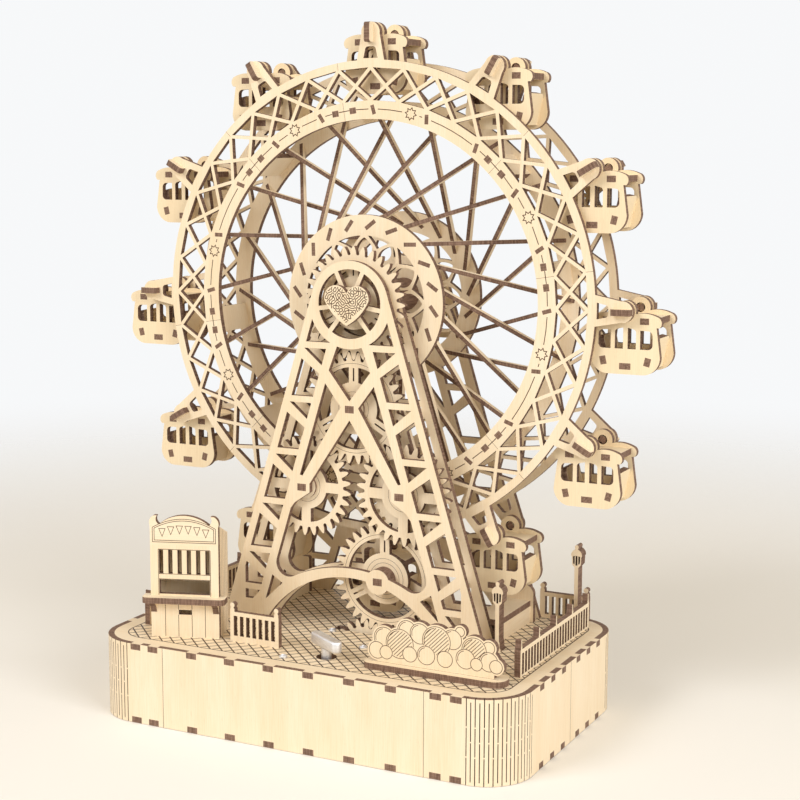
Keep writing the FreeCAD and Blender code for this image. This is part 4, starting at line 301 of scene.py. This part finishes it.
def bent_wall(name, side_x, side_y):
    """One bent corner wall, slit through so that it bends.

    The wall is a grid over (length along the wall, height). Length runs straight
    from the panel seam, round the corner's arc and straight to mid side. Cells in
    a slit or a tab notch are left out, and wherever a kept cell meets one that is
    left out there is a cut wall through the thickness.
    """
    seam, straight, radius, run, thick, tall = PANEL_SEAM, 0.090, 0.023, 0.049, 0.003, DECK_TOP
    arc = radius * math.pi / 2
    first, last = straight - seam, straight - seam + arc
    total = last + run
    kerf, pitch = 0.00045, 0.00205
    columns = np.arange(first + 0.0006, last - 0.0004, pitch)
    notches = [(x - 0.00285, x + 0.00285) for x in (0.0057, 0.0157)]
    notches += [(total - y - 0.00255, total - y + 0.00255) for y in (0.0374, 0.02355, 0.0097)]
    cuts_s = np.concatenate([[0.0, total], np.ravel(notches), columns, columns + kerf,
                             np.linspace(first, last, 25)])
    cuts_z = np.array([0.0, 0.003, 0.0016, 0.0128, 0.0134, 0.0197, 0.0203, 0.0266, 0.0272, 0.0384, 0.037, tall])
    s, z = np.unique(np.round(cuts_s, 7)), np.unique(cuts_z)
    mid_s, mid_z = (s[1:] + s[:-1]) / 2, (z[1:] + z[:-1]) / 2
    kept = np.ones((len(mid_s), len(mid_z)), dtype=bool)
    rim = (mid_z < 0.003) | (mid_z > 0.037)
    for start, stop in notches:
        kept[np.ix_((mid_s > start) & (mid_s < stop), rim)] = False
    bridges = [((0.0128, 0.0134), (0.0266, 0.0272)), ((0.0, 0.0016), (0.0197, 0.0203), (0.0384, 0.041))]
    for index, column in enumerate(columns):
        whole = np.zeros(len(mid_z), dtype=bool)
        for low, high in bridges[index % 2]:
            whole |= (mid_z > low) & (mid_z < high)
        kept[np.ix_((mid_s > column) & (mid_s < column + kerf), ~whole)] = False

    def spot(depth):
        """Plan position at each length, depth inside the outer face."""
        turn = np.clip((s - first) / radius, 0, math.pi / 2)
        x = np.where(s < first, seam + s, straight + (radius - depth) * np.sin(turn))
        y = np.where(s > last, -run + (s - last), -run - (radius - depth) * np.cos(turn))
        return x * side_x, y * side_y
    rows, high = len(s), len(z)
    layers = []
    for depth in (0.0, thick):
        x, y = spot(depth)
        layers.append(np.stack([np.repeat(x, high), np.repeat(y, high), np.tile(z, rows)], axis=1))
    points = np.concatenate(layers)
    corner = np.arange(rows * high).reshape(rows, high)
    back = rows * high
    a, b, c, d = corner[:-1, :-1], corner[1:, :-1], corner[1:, 1:], corner[:-1, 1:]
    outer = np.stack([a, b, c, d], axis=-1)[kept]
    inner = np.stack([a, d, c, b], axis=-1)[kept] + back
    padded = np.pad(kept, 1)
    walls = []
    for shift, start, stop in (((0, 1), a, d), ((2, 1), c, b), ((1, 0), b, a), ((1, 2), d, c)):
        beyond = padded[shift[0]:shift[0] + len(mid_s), shift[1]:shift[1] + len(mid_z)]
        edge = kept & ~beyond
        walls.append(np.stack([start[edge], stop[edge], stop[edge] + back, start[edge] + back], axis=-1))
    cut_faces = np.concatenate(walls)
    faces = np.concatenate([outer, inner, cut_faces])
    if side_x * side_y < 0:
        faces = faces[:, ::-1]
    used, renumbered = np.unique(faces, return_inverse=True)
    thing = new_piece(name, points[used], renumbered.reshape(faces.shape), base_ply, "base")
    length = np.tile(np.repeat(s, high), 2)[used]
    layer = np.repeat([0.0015, -0.0015], rows * high)[used]
    store(thing.data, "board", "FLOAT_VECTOR", "POINT",
          np.stack([points[used][:, 2], length + 0.2 * side_x + 0.4 * side_y, layer], axis=1))
    store(thing.data, "cut", "FLOAT", "FACE", np.repeat([0.0, 1.0], [len(outer) * 2, len(cut_faces)]))
    store(thing.data, "tone", "FLOAT", "FACE", np.full(len(faces), 0.3 + 0.1 * side_x))
    return thing


bent_walls = [bent_wall("bent_wall_front_right", 1, 1), bent_wall("bent_wall_front_left", -1, 1),
              bent_wall("bent_wall_back_right", 1, -1), bent_wall("bent_wall_back_left", -1, -1)]
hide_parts("base_corner_walls")


def scorched(name, colour=(0.125, 0.070, 0.042, 1)):
    """The bottom of a laser-engraved line: dark brown, a little uneven."""
    material = bpy.data.materials.new(name)
    material.use_nodes = True
    tree = material.node_tree
    shader = tree.nodes["Principled BSDF"]
    spot = put(tree, "ShaderNodeTexCoord").node.outputs["Object"]
    speck = stretched_noise(tree, spot, (1400, 1400, 1400), 3, 0.6)
    darker = tuple(0.55 * value for value in colour[:3]) + (1,)
    tree.links.new(blend_colours(tree, ramp(tree, speck, 0.3, 0.7), darker, colour), shader.inputs["Base Color"])
    tree.links.new(maths(tree, "MULTIPLY_ADD", speck, 0.2, 0.65), shader.inputs["Roughness"])
    shader.inputs["Specular IOR Level"].default_value = 0.15
    return material


burnt_line = scorched("burnt_line")


def score(name, body, lines, start, right, up, width=0.00026, sink=0.0003):
    """Engraved lines on a flat face, as one piece.

    Each line is an array of (across, up) points in metres on the face, and closed
    when its last point is its first. It becomes a bar of rectangular section: at
    every point the section's two sides lie half a width off, square to the mean
    of the runs before and after it. Its top stands 0.02 mm proud so that it
    shows, and it is sunk into the board.
    """
    start, right, up = (np.array(v, dtype=float) for v in (start, right, up))
    out = np.cross(right, up)
    all_points, all_faces, count = [], [], 0
    for line in lines:
        line = np.asarray(line, dtype=float)
        loop = np.allclose(line[0], line[-1])
        if loop:
            line = line[:-1]
            before, after = np.roll(line, 1, axis=0), np.roll(line, -1, axis=0)
        else:
            before = np.concatenate([2 * line[:1] - line[1:2], line[:-1]])
            after = np.concatenate([line[1:], 2 * line[-1:] - line[-2:-1]])
        first, second = line - before, after - line
        first /= np.linalg.norm(first, axis=1)[:, None]
        second /= np.linalg.norm(second, axis=1)[:, None]
        way = first + second
        way /= np.linalg.norm(way, axis=1)[:, None]
        stretch = 1 / np.clip(np.abs((way * first).sum(axis=1)), 0.45, 1)
        side = np.stack([-way[:, 1], way[:, 0]], axis=1) * (width / 2 * stretch)[:, None]
        ring = []
        for flat, height in ((line - side, 0.00002), (line + side, 0.00002), (line + side, -sink),
                             (line - side, -sink)):
            ring.append(start + flat[:, :1] * right + flat[:, 1:] * up + height * out)
        ring = np.stack(ring, axis=1)
        size = len(line)
        numbers = count + np.arange(size * 4).reshape(size, 4)
        following = np.roll(numbers, -1, axis=0) if loop else numbers[1:]
        current = numbers if loop else numbers[:-1]
        faces = [np.stack([current[:, k], following[:, k], following[:, (k + 1) % 4], current[:, (k + 1) % 4]],
                          axis=1) for k in range(4)]
        if not loop:
            faces += [numbers[:1], numbers[-1:, ::-1]]
        all_points.append(ring.reshape(-1, 3))
        all_faces.append(np.concatenate(faces))
        count += size * 4
    return new_piece(name, np.concatenate(all_points), np.concatenate(all_faces), burnt_line, body)


def arc_line(radius, start, stop, centre=(0.0, 0.0), step=3.0):
    """Points on an arc, degrees, close enough together to look round."""
    count = max(2, int(abs(stop - start) / step) + 1)
    angle = np.radians(np.linspace(start, stop, count))
    return np.stack([centre[0] + radius * np.cos(angle), centre[1] + radius * np.sin(angle)], axis=1)


SEAM_LINE = 0.00022
seams = [[(x, 0.0), (x, DECK_TOP)] for x in (-PANEL_SEAM, PANEL_SEAM)]
middle_seam = [[(0.0, 0.0), (0.0, DECK_TOP)]]
score("front_panel_seams", "base", seams, (0, -BASE_HALF_DEPTH, 0), RIGHT, UP, SEAM_LINE)
score("back_panel_seams", "base", seams, (0, BASE_HALF_DEPTH, 0), LEFT, UP, SEAM_LINE)
score("right_wall_seam", "base", middle_seam, (BASE_HALF_WIDTH, 0, 0), BACK, UP, SEAM_LINE)
score("left_wall_seam", "base", middle_seam, (-BASE_HALF_WIDTH, 0, 0), FRONT, UP, SEAM_LINE)

# ------------------------------------------------------ music movement and key
# A bought wind-up movement hangs under the deck on three screws. Its nickel key
# is a bar with round ends on a short stem; the rest is brass and steel.


def metal(name, colour, roughness, streaks):
    """Plated metal with fine brushing, stretched along one direction."""
    material = bpy.data.materials.new(name)
    material.use_nodes = True
    tree = material.node_tree
    shader = tree.nodes["Principled BSDF"]
    spot = put(tree, "ShaderNodeTexCoord").node.outputs["Object"]
    brushing = stretched_noise(tree, spot, streaks, 4, 0.6)
    smudge = stretched_noise(tree, spot, (120, 120, 120), 3, 0.55)
    dull = tuple(0.72 * value for value in colour[:3]) + (1,)
    tint = blend_colours(tree, maths(tree, "MULTIPLY", ramp(tree, brushing, 0.35, 0.7), 0.5), colour, dull)
    tree.links.new(tint, shader.inputs["Base Color"])
    tree.links.new(maths(tree, "MULTIPLY_ADD", smudge, 0.22, roughness - 0.1), shader.inputs["Roughness"])
    shader.inputs["Metallic"].default_value = 1.0
    bump = tree.nodes.new("ShaderNodeBump")
    bump.inputs["Strength"].default_value = 0.15
    bump.inputs["Distance"].default_value = 0.00005
    tree.links.new(brushing, bump.inputs["Height"])
    tree.links.new(bump.outputs[0], shader.inputs["Normal"])
    return material


nickel = metal("nickel_plate", (0.93, 0.93, 0.94, 1), 0.44, (300, 300, 2500))
brass = metal("movement_brass_plate", (0.80, 0.62, 0.30, 1), 0.34, (200, 2500, 200))
steel = metal("comb_steel", (0.62, 0.62, 0.63, 1), 0.32, (200, 2500, 200))
for node, finish in (("movement_bedplate", brass), ("movement_works", brass), ("movement_drum", brass),
                     ("movement_comb", steel)):
    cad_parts[node].data.materials.clear()
    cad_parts[node].data.materials.append(finish)


def closed_rings(rings):
    """Quads between rings of equal length, and one face over each end."""
    count, size = rings.shape[:2]
    number = np.arange(count * size).reshape(count, size)
    turned = np.roll(number, -1, axis=1)
    faces = np.stack([number[:-1], turned[:-1], turned[1:], number[1:]], axis=-1).reshape(-1, 4).tolist()
    return faces + [number[0][::-1].tolist(), number[-1].tolist()]


KEY_AXIS, KEY_TURN = (0.007, -0.047), math.radians(-32.0)
SCREWS = ((-0.011, -0.057), (-0.0108, -0.0083), (0.0161, -0.0266))


def key_rings():
    """The key from the stem's foot up: circles, then the bar's section.

    The bar's plan is two half circles joined by straight sides: each point of a
    circle is shifted to the end it belongs to. Its edges are rounded by a quarter
    circle at the foot and the crown.
    """
    low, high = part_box("winding_key")
    angle = np.radians(np.arange(0, 360, 7.5))
    rings = []
    half, wide, foot, crown, soft = 0.0120, 0.00275, high.z - 0.0055, high.z, 0.0009
    stem, collar, shoulder = 0.0015, 0.0024, 0.0385
    levels = [(0.0, stem, low.z), (0.0, stem, shoulder), (0.0, collar, shoulder), (0.0, collar, foot)]
    for share in np.linspace(0, math.pi / 2, 5):
        levels.append((1.0, wide - soft * (1 - math.sin(share)), foot + soft * (1 - math.cos(share))))
    for share in np.linspace(0, math.pi / 2, 5):
        levels.append((1.0, wide - soft * (1 - math.cos(share)), crown - soft * (1 - math.sin(share))))
    for stretch, radius, z in levels:
        x = radius * np.cos(angle) + stretch * np.sign(np.round(np.cos(angle), 6)) * (half - wide)
        y = radius * np.sin(angle)
        rings.append(np.stack([KEY_AXIS[0] + x * math.cos(KEY_TURN) - y * math.sin(KEY_TURN),
                               KEY_AXIS[1] + x * math.sin(KEY_TURN) + y * math.cos(KEY_TURN),
                               np.full(len(angle), z)], axis=1))
    return np.array(rings)


rings = key_rings()
key = new_piece("winding_key_bar", rings.reshape(-1, 3), closed_rings(rings), nickel, "winding_key",
                smooth=True)
key.modifiers.new("crisp", "EDGE_SPLIT").split_angle = math.radians(50)
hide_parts("winding_key")


def screw_head(centre):
    """A pan head with a cross recess: a disc of rings whose height is a dome, less the cross."""
    angle = np.radians(np.arange(0, 360, 6.0))
    reach = np.array([0.0020, 0.0020, 0.00185, 0.0016, 0.00128, 0.00122, 0.0009, 0.0006, 0.00034, 0.00028, 0.0001])
    dome = DECK_TOP + 0.0014 - 0.0009 * (reach / 0.002) ** 2.5
    dome[0], dome[1] = DECK_TOP - 0.0002, DECK_TOP + 0.0007
    x, y = np.outer(reach, np.cos(angle)), np.outer(reach, np.sin(angle))
    cross = (np.minimum(np.abs(x), np.abs(y)) < 0.00030) & (reach[:, None] < 0.00125)
    z = dome[:, None] - 0.0006 * cross
    return np.stack([x + centre[0], y + centre[1], z], axis=-1)


screw_points, screw_faces, count = [], [], 0
for centre in SCREWS:
    rings = screw_head(centre)
    screw_faces += [[count + number for number in face] for face in closed_rings(rings)]
    screw_points.append(rings.reshape(-1, 3))
    count += rings.shape[0] * rings.shape[1]
screws = new_piece("pan_head_screws", np.concatenate(screw_points), screw_faces, nickel, "base")
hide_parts("movement_screws")

# ------------------------------------------------------------------ the towers
# Laser-cut plates stand on the deck on foot tabs: two in front, which carry the
# gears between them, and one behind. The heart medallion caps the axle.
tower_ply = birch_ply("tower_birch_ply")
for seed, node in enumerate(("tower_front_plate", "tower_inner_plate", "back_tower_plate", "gear_axle_strips",
                             "heart_medallion")):
    finish_in(node, tower_ply, 10 + seed)


def level_lines(across, up, height):
    """Lines where a height field over a grid passes through zero, as arrays of points.

    In each cell the sides whose two ends differ in sign are crossed, at the point
    where the height falls to zero between the ends. The crossings of a cell are
    joined two by two, and the joins are followed from cell to cell.
    """
    spot, joined = {}, {}

    def crossed(first, second):
        a, b = height[first], height[second]
        if np.isnan(a) or np.isnan(b) or (a > 0) == (b > 0):
            return None
        share = a / (a - b)
        spot[(first, second)] = (across[first[0]] + share * (across[second[0]] - across[first[0]]),
                                 up[first[1]] + share * (up[second[1]] - up[first[1]]))
        return first, second
    for i in range(len(across) - 1):
        for j in range(len(up) - 1):
            sides = (crossed((i, j), (i + 1, j)), crossed((i + 1, j), (i + 1, j + 1)),
                     crossed((i, j + 1), (i + 1, j + 1)), crossed((i, j), (i, j + 1)))
            met = [side for side in sides if side is not None]
            for first, second in zip(met[0::2], met[1::2]):
                joined.setdefault(first, []).append(second)
                joined.setdefault(second, []).append(first)
    lines, seen = [], set()
    for start in sorted(joined, key=lambda side: (len(joined[side]), side)):
        if start in seen:
            continue
        chain, here = [start], start
        seen.add(start)
        while True:
            onward = [side for side in joined[here] if side not in seen]
            if not onward:
                break
            here = onward[0]
            seen.add(here)
            chain.append(here)
        if here != start and len(chain) > 2 and start in joined[here]:
            chain.append(start)
        if len(chain) > 3:
            lines.append(np.array([spot[side] for side in chain]))
    return lines


HEART_WAVE, HEART_CELL, HEART_LINE = 0.00215, 0.00024, 0.00042


def heart_lines():
    """Winding lines that fill the heart.

    The edge is the curve (16 sin^3 t, 13 cos t - 5 cos 2t - 2 cos 3t - cos 4t),
    fitted to the board. Inside it, forty waves of one length run in random
    directions; their sum is zero along evenly spaced, winding lines.
    """
    low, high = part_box("heart_medallion")
    middle, foot = (low.x + high.x) / 2, low.z
    half, tall = (high.x - low.x) / 2, high.z - low.z
    share = np.linspace(0, 2 * math.pi, 61)
    curve = np.stack([np.sin(share) ** 3, (13 * np.cos(share) - 5 * np.cos(2 * share) - 2 * np.cos(3 * share)
                                           - np.cos(4 * share) + 17) / 29], axis=1)
    edge_x, edge_z = middle + 0.97 * half * curve[:, 0], foot + tall * (0.012 + 0.968 * curve[:, 1])
    across, up = np.arange(low.x, high.x, HEART_CELL), np.arange(low.z, high.z, HEART_CELL)
    x, z = np.meshgrid(across, up, indexing="ij")
    random = np.random.default_rng(11)
    height = np.zeros_like(x)
    for way, phase in random.uniform(0, 2 * math.pi, (40, 2)):
        height += np.cos(2 * math.pi / HEART_WAVE * (x * math.cos(way) + z * math.sin(way)) + phase)
    inside = np.zeros_like(x, dtype=bool)
    for x0, z0, x1, z1 in zip(edge_x[:-1], edge_z[:-1], edge_x[1:], edge_z[1:]):
        if z0 != z1:
            inside ^= ((z0 > z) != (z1 > z)) & (x < (x1 - x0) * (z - z0) / (z1 - z0) + x0)
    return level_lines(across, up, np.where(inside, height, np.nan))


score("heart_swirls", "base", heart_lines(), (0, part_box("heart_medallion")[0].y, 0), RIGHT, UP, HEART_LINE, 0.0004)

# --------------------------------------------------------------- the gear train
# Seven ply gears run on round bushes over square strips. The bottom, centre,
# left and right gears carry engraved rings round their hubs.
gear_ply = birch_ply("gear_birch_ply")
for seed, node in enumerate(("hub_gear", "centre_gear", "left_gear", "right_gear", "right_pinion", "bottom_gear",
                             "drive_gear", "gear_bushes")):
    finish_in(node, gear_ply, 20 + seed)


def gear_rings(node, body, radii):
    """Engraved circles round a gear's middle, on its front face."""
    low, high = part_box(node)
    centre = ((low.x + high.x) / 2, (low.z + high.z) / 2)
    score(node + "_rings", body, [arc_line(radius, 0, 360, centre, 6.0) for radius in radii],
          (0, low.y, 0), RIGHT, UP, 0.00016)


gear_rings("bottom_gear", "bottom_gear", (0.0080, 0.0102, 0.0222))
gear_rings("centre_gear", "centre_gear", (0.0082, 0.0222))
gear_rings("left_gear", "left_gear", (0.0080,))
gear_rings("right_gear", "right_gear", (0.0080,))

# ------------------------------------------------------------------- the wheel
# Two lattice rings and two hub discs, tied by forty slanting strips and eight
# cross boards, turn with the axle. Burnt lines join the slots of each ring, and
# four pairs of stars mark it.
wheel_ply = birch_ply("wheel_birch_ply")
for seed, node in enumerate(("front_ring", "back_ring", "ring_cross_boards", "front_hub_disc", "back_hub_disc",
                             "front_ring_spokes", "back_ring_spokes", "gondola_pivot_pins", "wheel_axle",
                             "axle_collars")):
    finish_in(node, wheel_ply, 30 + seed)


ARC_RADIUS, STAR_TIP, STAR_NOTCH = 0.0933, 0.0030, 0.0019


def ring_marks():
    """The lines on one ring: arcs between slots, stars, and the joints of the segments.

    Arcs run round the axle and leave out each slot and star. A star has sixteen
    points, at two radii in turn.
    """
    slots = [(89.1 - 18 * index, 1.55) for index in range(20)]
    joints = (9, 45, 99, 135, 189, 225, 279, 315)
    stars = [27 + 90 * index for index in range(4)] + [76.5 + 90 * index for index in range(4)]
    slots += [(joint + side * 3.0, 1.15) for joint in joints for side in (-1, 1)]
    slots += [(angle, 2.9) for angle in stars]
    stops = sorted(((angle % 360, half) for angle, half in slots))
    lines = []
    for index, (angle, half) in enumerate(stops):
        following, next_half = stops[(index + 1) % len(stops)]
        begin, end = angle + half, following - next_half + (360 if following <= angle else 0)
        if end - begin > 0.6:
            lines.append(arc_line(ARC_RADIUS, begin, end))
    for angle in stars:
        centre = (ARC_RADIUS * math.cos(math.radians(angle)), ARC_RADIUS * math.sin(math.radians(angle)))
        turn = np.radians(angle + np.arange(17) * 22.5)
        reach = np.where(np.arange(17) % 2 == 0, STAR_TIP, STAR_NOTCH)
        lines.append(np.stack([centre[0] + reach * np.cos(turn), centre[1] + reach * np.sin(turn)], axis=1))
    hair = []
    for joint in joints:
        way = np.array([math.cos(math.radians(joint)), math.sin(math.radians(joint))])
        hair += [[0.0885 * way, 0.0976 * way], [0.1133 * way, 0.1169 * way]]
    return lines, hair


hub_z = (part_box("wheel_axle")[0].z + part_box("wheel_axle")[1].z) / 2
front_face, back_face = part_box("front_ring")[0].y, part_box("back_ring")[1].y
for label, face, right in (("front", front_face, RIGHT), ("back", back_face, LEFT)):
    lines, hair = ring_marks()
    score(label + "_ring_lines", "wheel", lines, (0, face, hub_z), right, UP, 0.00042)
    if label == "back":
        hair = [np.array(line) * (-1, 1) for line in hair]
    score(label + "_ring_joints", "wheel", hair, (0, face, hub_z), right, UP, 0.00014)

# ----------------------------------------------------------------- the gondolas
# Twelve cars of six boards each: end panels, roof, floor and leaning walls. They
# hang on the pins and stay upright.
for index in range(12):
    tint = 0.012 * (index % 3)
    car_ply = birch_ply("car_birch_ply_%d" % (index + 1), (0.93 - tint, 0.80 - tint, 0.575 - tint, 1))
    finish_in("gondola_%02d" % (index + 1), car_ply, 50 + index)

# ------------------------------------------------------------------- the booth
# The ticket booth stands in the front left corner, turned to the corner. Its
# front is scored as planks, and its sign board has a plain border.
scenery_ply = birch_ply("scenery_birch_ply")
for seed, node in enumerate(("booth_front", "booth_counter", "booth_walls", "booth_sign", "small_fence",
                             "back_fence", "planter_board", "flower_bush", "boarding_platforms")):
    finish_in(node, scenery_ply, 70 + seed)
finish_in("side_fence", scenery_ply, 88, RIGHT)
finish_in("left_fence", scenery_ply, 89, RIGHT)
finish_in("street_lamps", scenery_ply, 90, BACK)

booth_turn = math.radians(19.0)
booth_right = np.array([math.cos(booth_turn), math.sin(booth_turn), 0.0])
booth_back = np.array([-math.sin(booth_turn), math.cos(booth_turn), 0.0])
booth_corner = np.array([-0.0863, -0.057, 0.040])
booth_wide, booth_deep = 0.0344, 0.020
planks = [[(x, 0.0003), (x, 0.0177)] for x in (0.0072, 0.0274)]
planks += [[(x, low), (x, high)] for x in (0.0139, 0.0207) for low, high in ((0.0003, 0.0115), (0.0141, 0.0177))]
planks += [[(x, 0.0212), (x, 0.0443)] for x in (0.0041, 0.0303)]
planks += [[(0.0041, z), (0.0303, z)] for z in (0.0294, 0.0320, 0.0444)]
BOOTH_LINE = 0.00028
score("booth_planks", "base", planks, booth_corner, booth_right, UP, BOOTH_LINE)
courses = [[(back, 0.0003), (back, 0.0560 - 0.388 * (back - 0.003) - 0.0004)]
           for back in np.arange(0.0032, 0.0198, 0.0031)]
mirrored_courses = [[(booth_deep - back, low), (booth_deep - back, high)] for (back, low), (_, high) in courses]
score("booth_right_courses", "base", courses, booth_corner + booth_wide * booth_right, booth_back, UP, BOOTH_LINE)
score("booth_left_courses", "base", mirrored_courses, booth_corner + booth_deep * booth_back, -booth_back, UP,
      BOOTH_LINE)


def sign_frame(margin):
    """The sign's border: straight at the foot and the sides, a parabola on top."""
    across = np.linspace(0.0013 + margin, 0.0331 - margin, 19)
    rise = 1 - ((across - 0.0172) / 0.0159) ** 2
    top = np.stack([across, 0.0553 - margin + 0.0045 * rise], axis=1)
    return np.concatenate([[(0.0013 + margin, 0.0480 + margin)], top, [(0.0331 - margin, 0.0480 + margin),
                                                                      (0.0013 + margin, 0.0480 + margin)]])


pennants = []
for middle in np.linspace(0.0062, 0.0282, 6):
    hang = 0.0548 + 0.0016 * (1 - ((middle - 0.0172) / 0.0110) ** 2)
    left, right = middle - 0.0016, middle + 0.0016
    pennants.append([(left, hang), (middle, hang - 0.0040), (right, hang), (left, hang)])
score("booth_sign_border", "base", [sign_frame(0.0), sign_frame(0.0009)] + pennants, booth_corner, booth_right,
      UP, 0.00030)

# ------------------------------------------------------------- the flower bush
# A flat board with a scalloped top stands on the planter. Each puff is engraved
# as the part of a circle that no nearer puff hides; three puffs are hatched.
puffs = [(5.7, 5.1, 4.0), (10.5, 4.6, 3.2), (9.5, 11.3, 5.2), (17.5, 9.6, 7.0), (21.2, 16.5, 4.7), (22.7, 5.3, 3.6),
         (27.7, 15.8, 4.8), (31.0, 6.0, 4.4), (36.2, 13.3, 7.0), (40.5, 5.5, 3.8), (44.2, 15.3, 4.6),
         (48.0, 19.5, 2.2), (55.0, 11.6, 6.0), (50.7, 7.1, 4.6), (56.2, 5.3, 2.9), (62.2, 7.3, 4.5),
         (62.2, 13.8, 2.9), (65.8, 5.5, 3.1)]


def clear_runs(points, nearer):
    """The runs of a line's points above the planter and outside all nearer circles."""
    clear = points[:, 1] > 0.0005
    for x, z, radius in nearer:
        clear &= np.hypot(points[:, 0] - x / 1000, points[:, 1] - z / 1000) > radius / 1000
    stops = np.flatnonzero(np.diff(np.concatenate([[0], clear.astype(int), [0]])))
    return [points[start:stop] for start, stop in zip(stops[0::2], stops[1::2]) if stop - start > 2]


def bush_lines():
    """Circles with the nearer ones in front, finer circles inside them, and hatching."""
    lines = []
    order = sorted(puffs, key=lambda puff: puff[1] - 0.45 * puff[2])
    for index, (x, z, radius) in enumerate(order):
        middle = (x / 1000, z / 1000)
        lines += clear_runs(arc_line(radius / 1000, -90, 270, middle, 4.0), order[:index])
        if radius > 4.3:
            lines += clear_runs(arc_line(radius / 1000 - 0.0008, 100, 200, middle, 4.0), order[:index])
        if (x, z, radius) in (puffs[3], puffs[8], puffs[12]):
            for offset in np.arange(-radius + 1.2, radius - 0.6, 1.3):
                reach = math.sqrt(max(0.0, (radius - 0.7) ** 2 - offset ** 2))
                along = np.linspace(-reach, reach, 24) / 1000
                slope = math.sqrt(0.5)
                hatch = np.stack([middle[0] + slope * along - slope * offset / 1000,
                                  middle[1] + slope * along + slope * offset / 1000], axis=1)
                lines += clear_runs(hatch, order[:index])
    return lines


planter_low, planter_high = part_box("planter_board")
score("bush_lines", "base", bush_lines(), (planter_low.x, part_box("flower_bush")[0].y, planter_high.z), RIGHT, UP,
      0.00030)
front = [(0.003, 0.0042), (0.0675, 0.0042)]
score("planter_line", "base", [front], (planter_low.x, planter_low.y, planter_high.z), RIGHT, BACK, 0.00024)

# ------------------------------------------------------------ floor and lights
# A plain white floor that fades into an even white surround, a large soft lamp
# from the upper left, and one nearly as strong from the right.
floor_mesh = bpy.data.meshes.new("floor")
floor_mesh.from_pydata([(-3, -3, -0.0002), (3, -3, -0.0002), (3, 3, -0.0002), (-3, 3, -0.0002)], [], [(0, 1, 2, 3)])
floor = bpy.data.objects.new("floor", floor_mesh)
bpy.context.scene.collection.objects.link(floor)
floor_finish = bpy.data.materials.new("floor_finish")
floor_finish.use_nodes = True
ground = floor_finish.node_tree
matt = ground.nodes["Principled BSDF"]
matt.inputs["Base Color"].default_value = (0.93, 0.93, 0.92, 1)
matt.inputs["Roughness"].default_value = 0.9
reach = put(ground, "ShaderNodeVectorMath", ground.nodes.new("ShaderNodeTexCoord").outputs["Object"],
            operation="LENGTH").node.outputs["Value"]
ground.links.new(maths(ground, "SUBTRACT", 1.0, ramp(ground, reach, 0.25, 1.1)), matt.inputs["Alpha"])
floor_mesh.materials.append(floor_finish)

world = bpy.data.worlds.new("surround")
bpy.context.scene.world = world
world.use_nodes = True
air = world.node_tree
background = air.nodes["Background"]
rays = air.nodes.new("ShaderNodeLightPath")
seen = maths(air, "MAXIMUM", rays.outputs["Is Camera Ray"], rays.outputs["Is Glossy Ray"])
seen = maths(air, "MAXIMUM", seen, rays.outputs["Is Transmission Ray"])
air.links.new(maths(air, "MULTIPLY_ADD", seen, 0.44, 0.54), background.inputs["Strength"])
air.links.new(blend_colours(air, seen, (1.0, 0.87, 0.68, 1), (0.95, 0.96, 0.97, 1)), background.inputs["Color"])


def soft_lamp(name, place, aim, size, watts, colour):
    """A square lamp that faces a point."""
    lamp = bpy.data.lights.new(name, "AREA")
    lamp.size = size
    lamp.energy = watts
    lamp.color = colour
    thing = bpy.data.objects.new(name, lamp)
    bpy.context.scene.collection.objects.link(thing)
    thing.location = place
    thing.rotation_euler = (Vector(aim) - Vector(place)).to_track_quat("-Z", "Y").to_euler()


soft_lamp("key_lamp", (-0.75, -1.5, 1.35), (0, 0, 0.16), 0.9, 20.5, (1.0, 0.98, 0.965))
soft_lamp("side_lamp", (1.5, -0.7, 0.9), (0, 0, 0.16), 1.0, 18.0, (1.0, 0.98, 0.95))

# ------------------------------------------------------------------- the camera
# It stands to the right of the front, higher than the axle, and looks slightly down.
camera_data = bpy.data.cameras.new("camera")
camera_data.sensor_width = 36.0
camera_data.lens = 75.68
camera_data.shift_x = 0.0519
camera_data.shift_y = -0.0082
camera = bpy.data.objects.new("camera", camera_data)
bpy.context.scene.collection.objects.link(camera)
azimuth, rise, roll = (math.radians(value) for value in (27.55, 8.56, 0.07))
aim, distance = np.array([0.0, 0.0, 0.160]), 0.82738
backward = np.array([math.sin(azimuth) * math.cos(rise), -math.cos(azimuth) * math.cos(rise), math.sin(rise)])
camera.location = aim + distance * backward
camera.rotation_euler = (math.pi / 2 - rise, roll, azimuth)
bpy.context.scene.camera = camera
bpy.context.scene.view_settings.view_transform = "Standard"
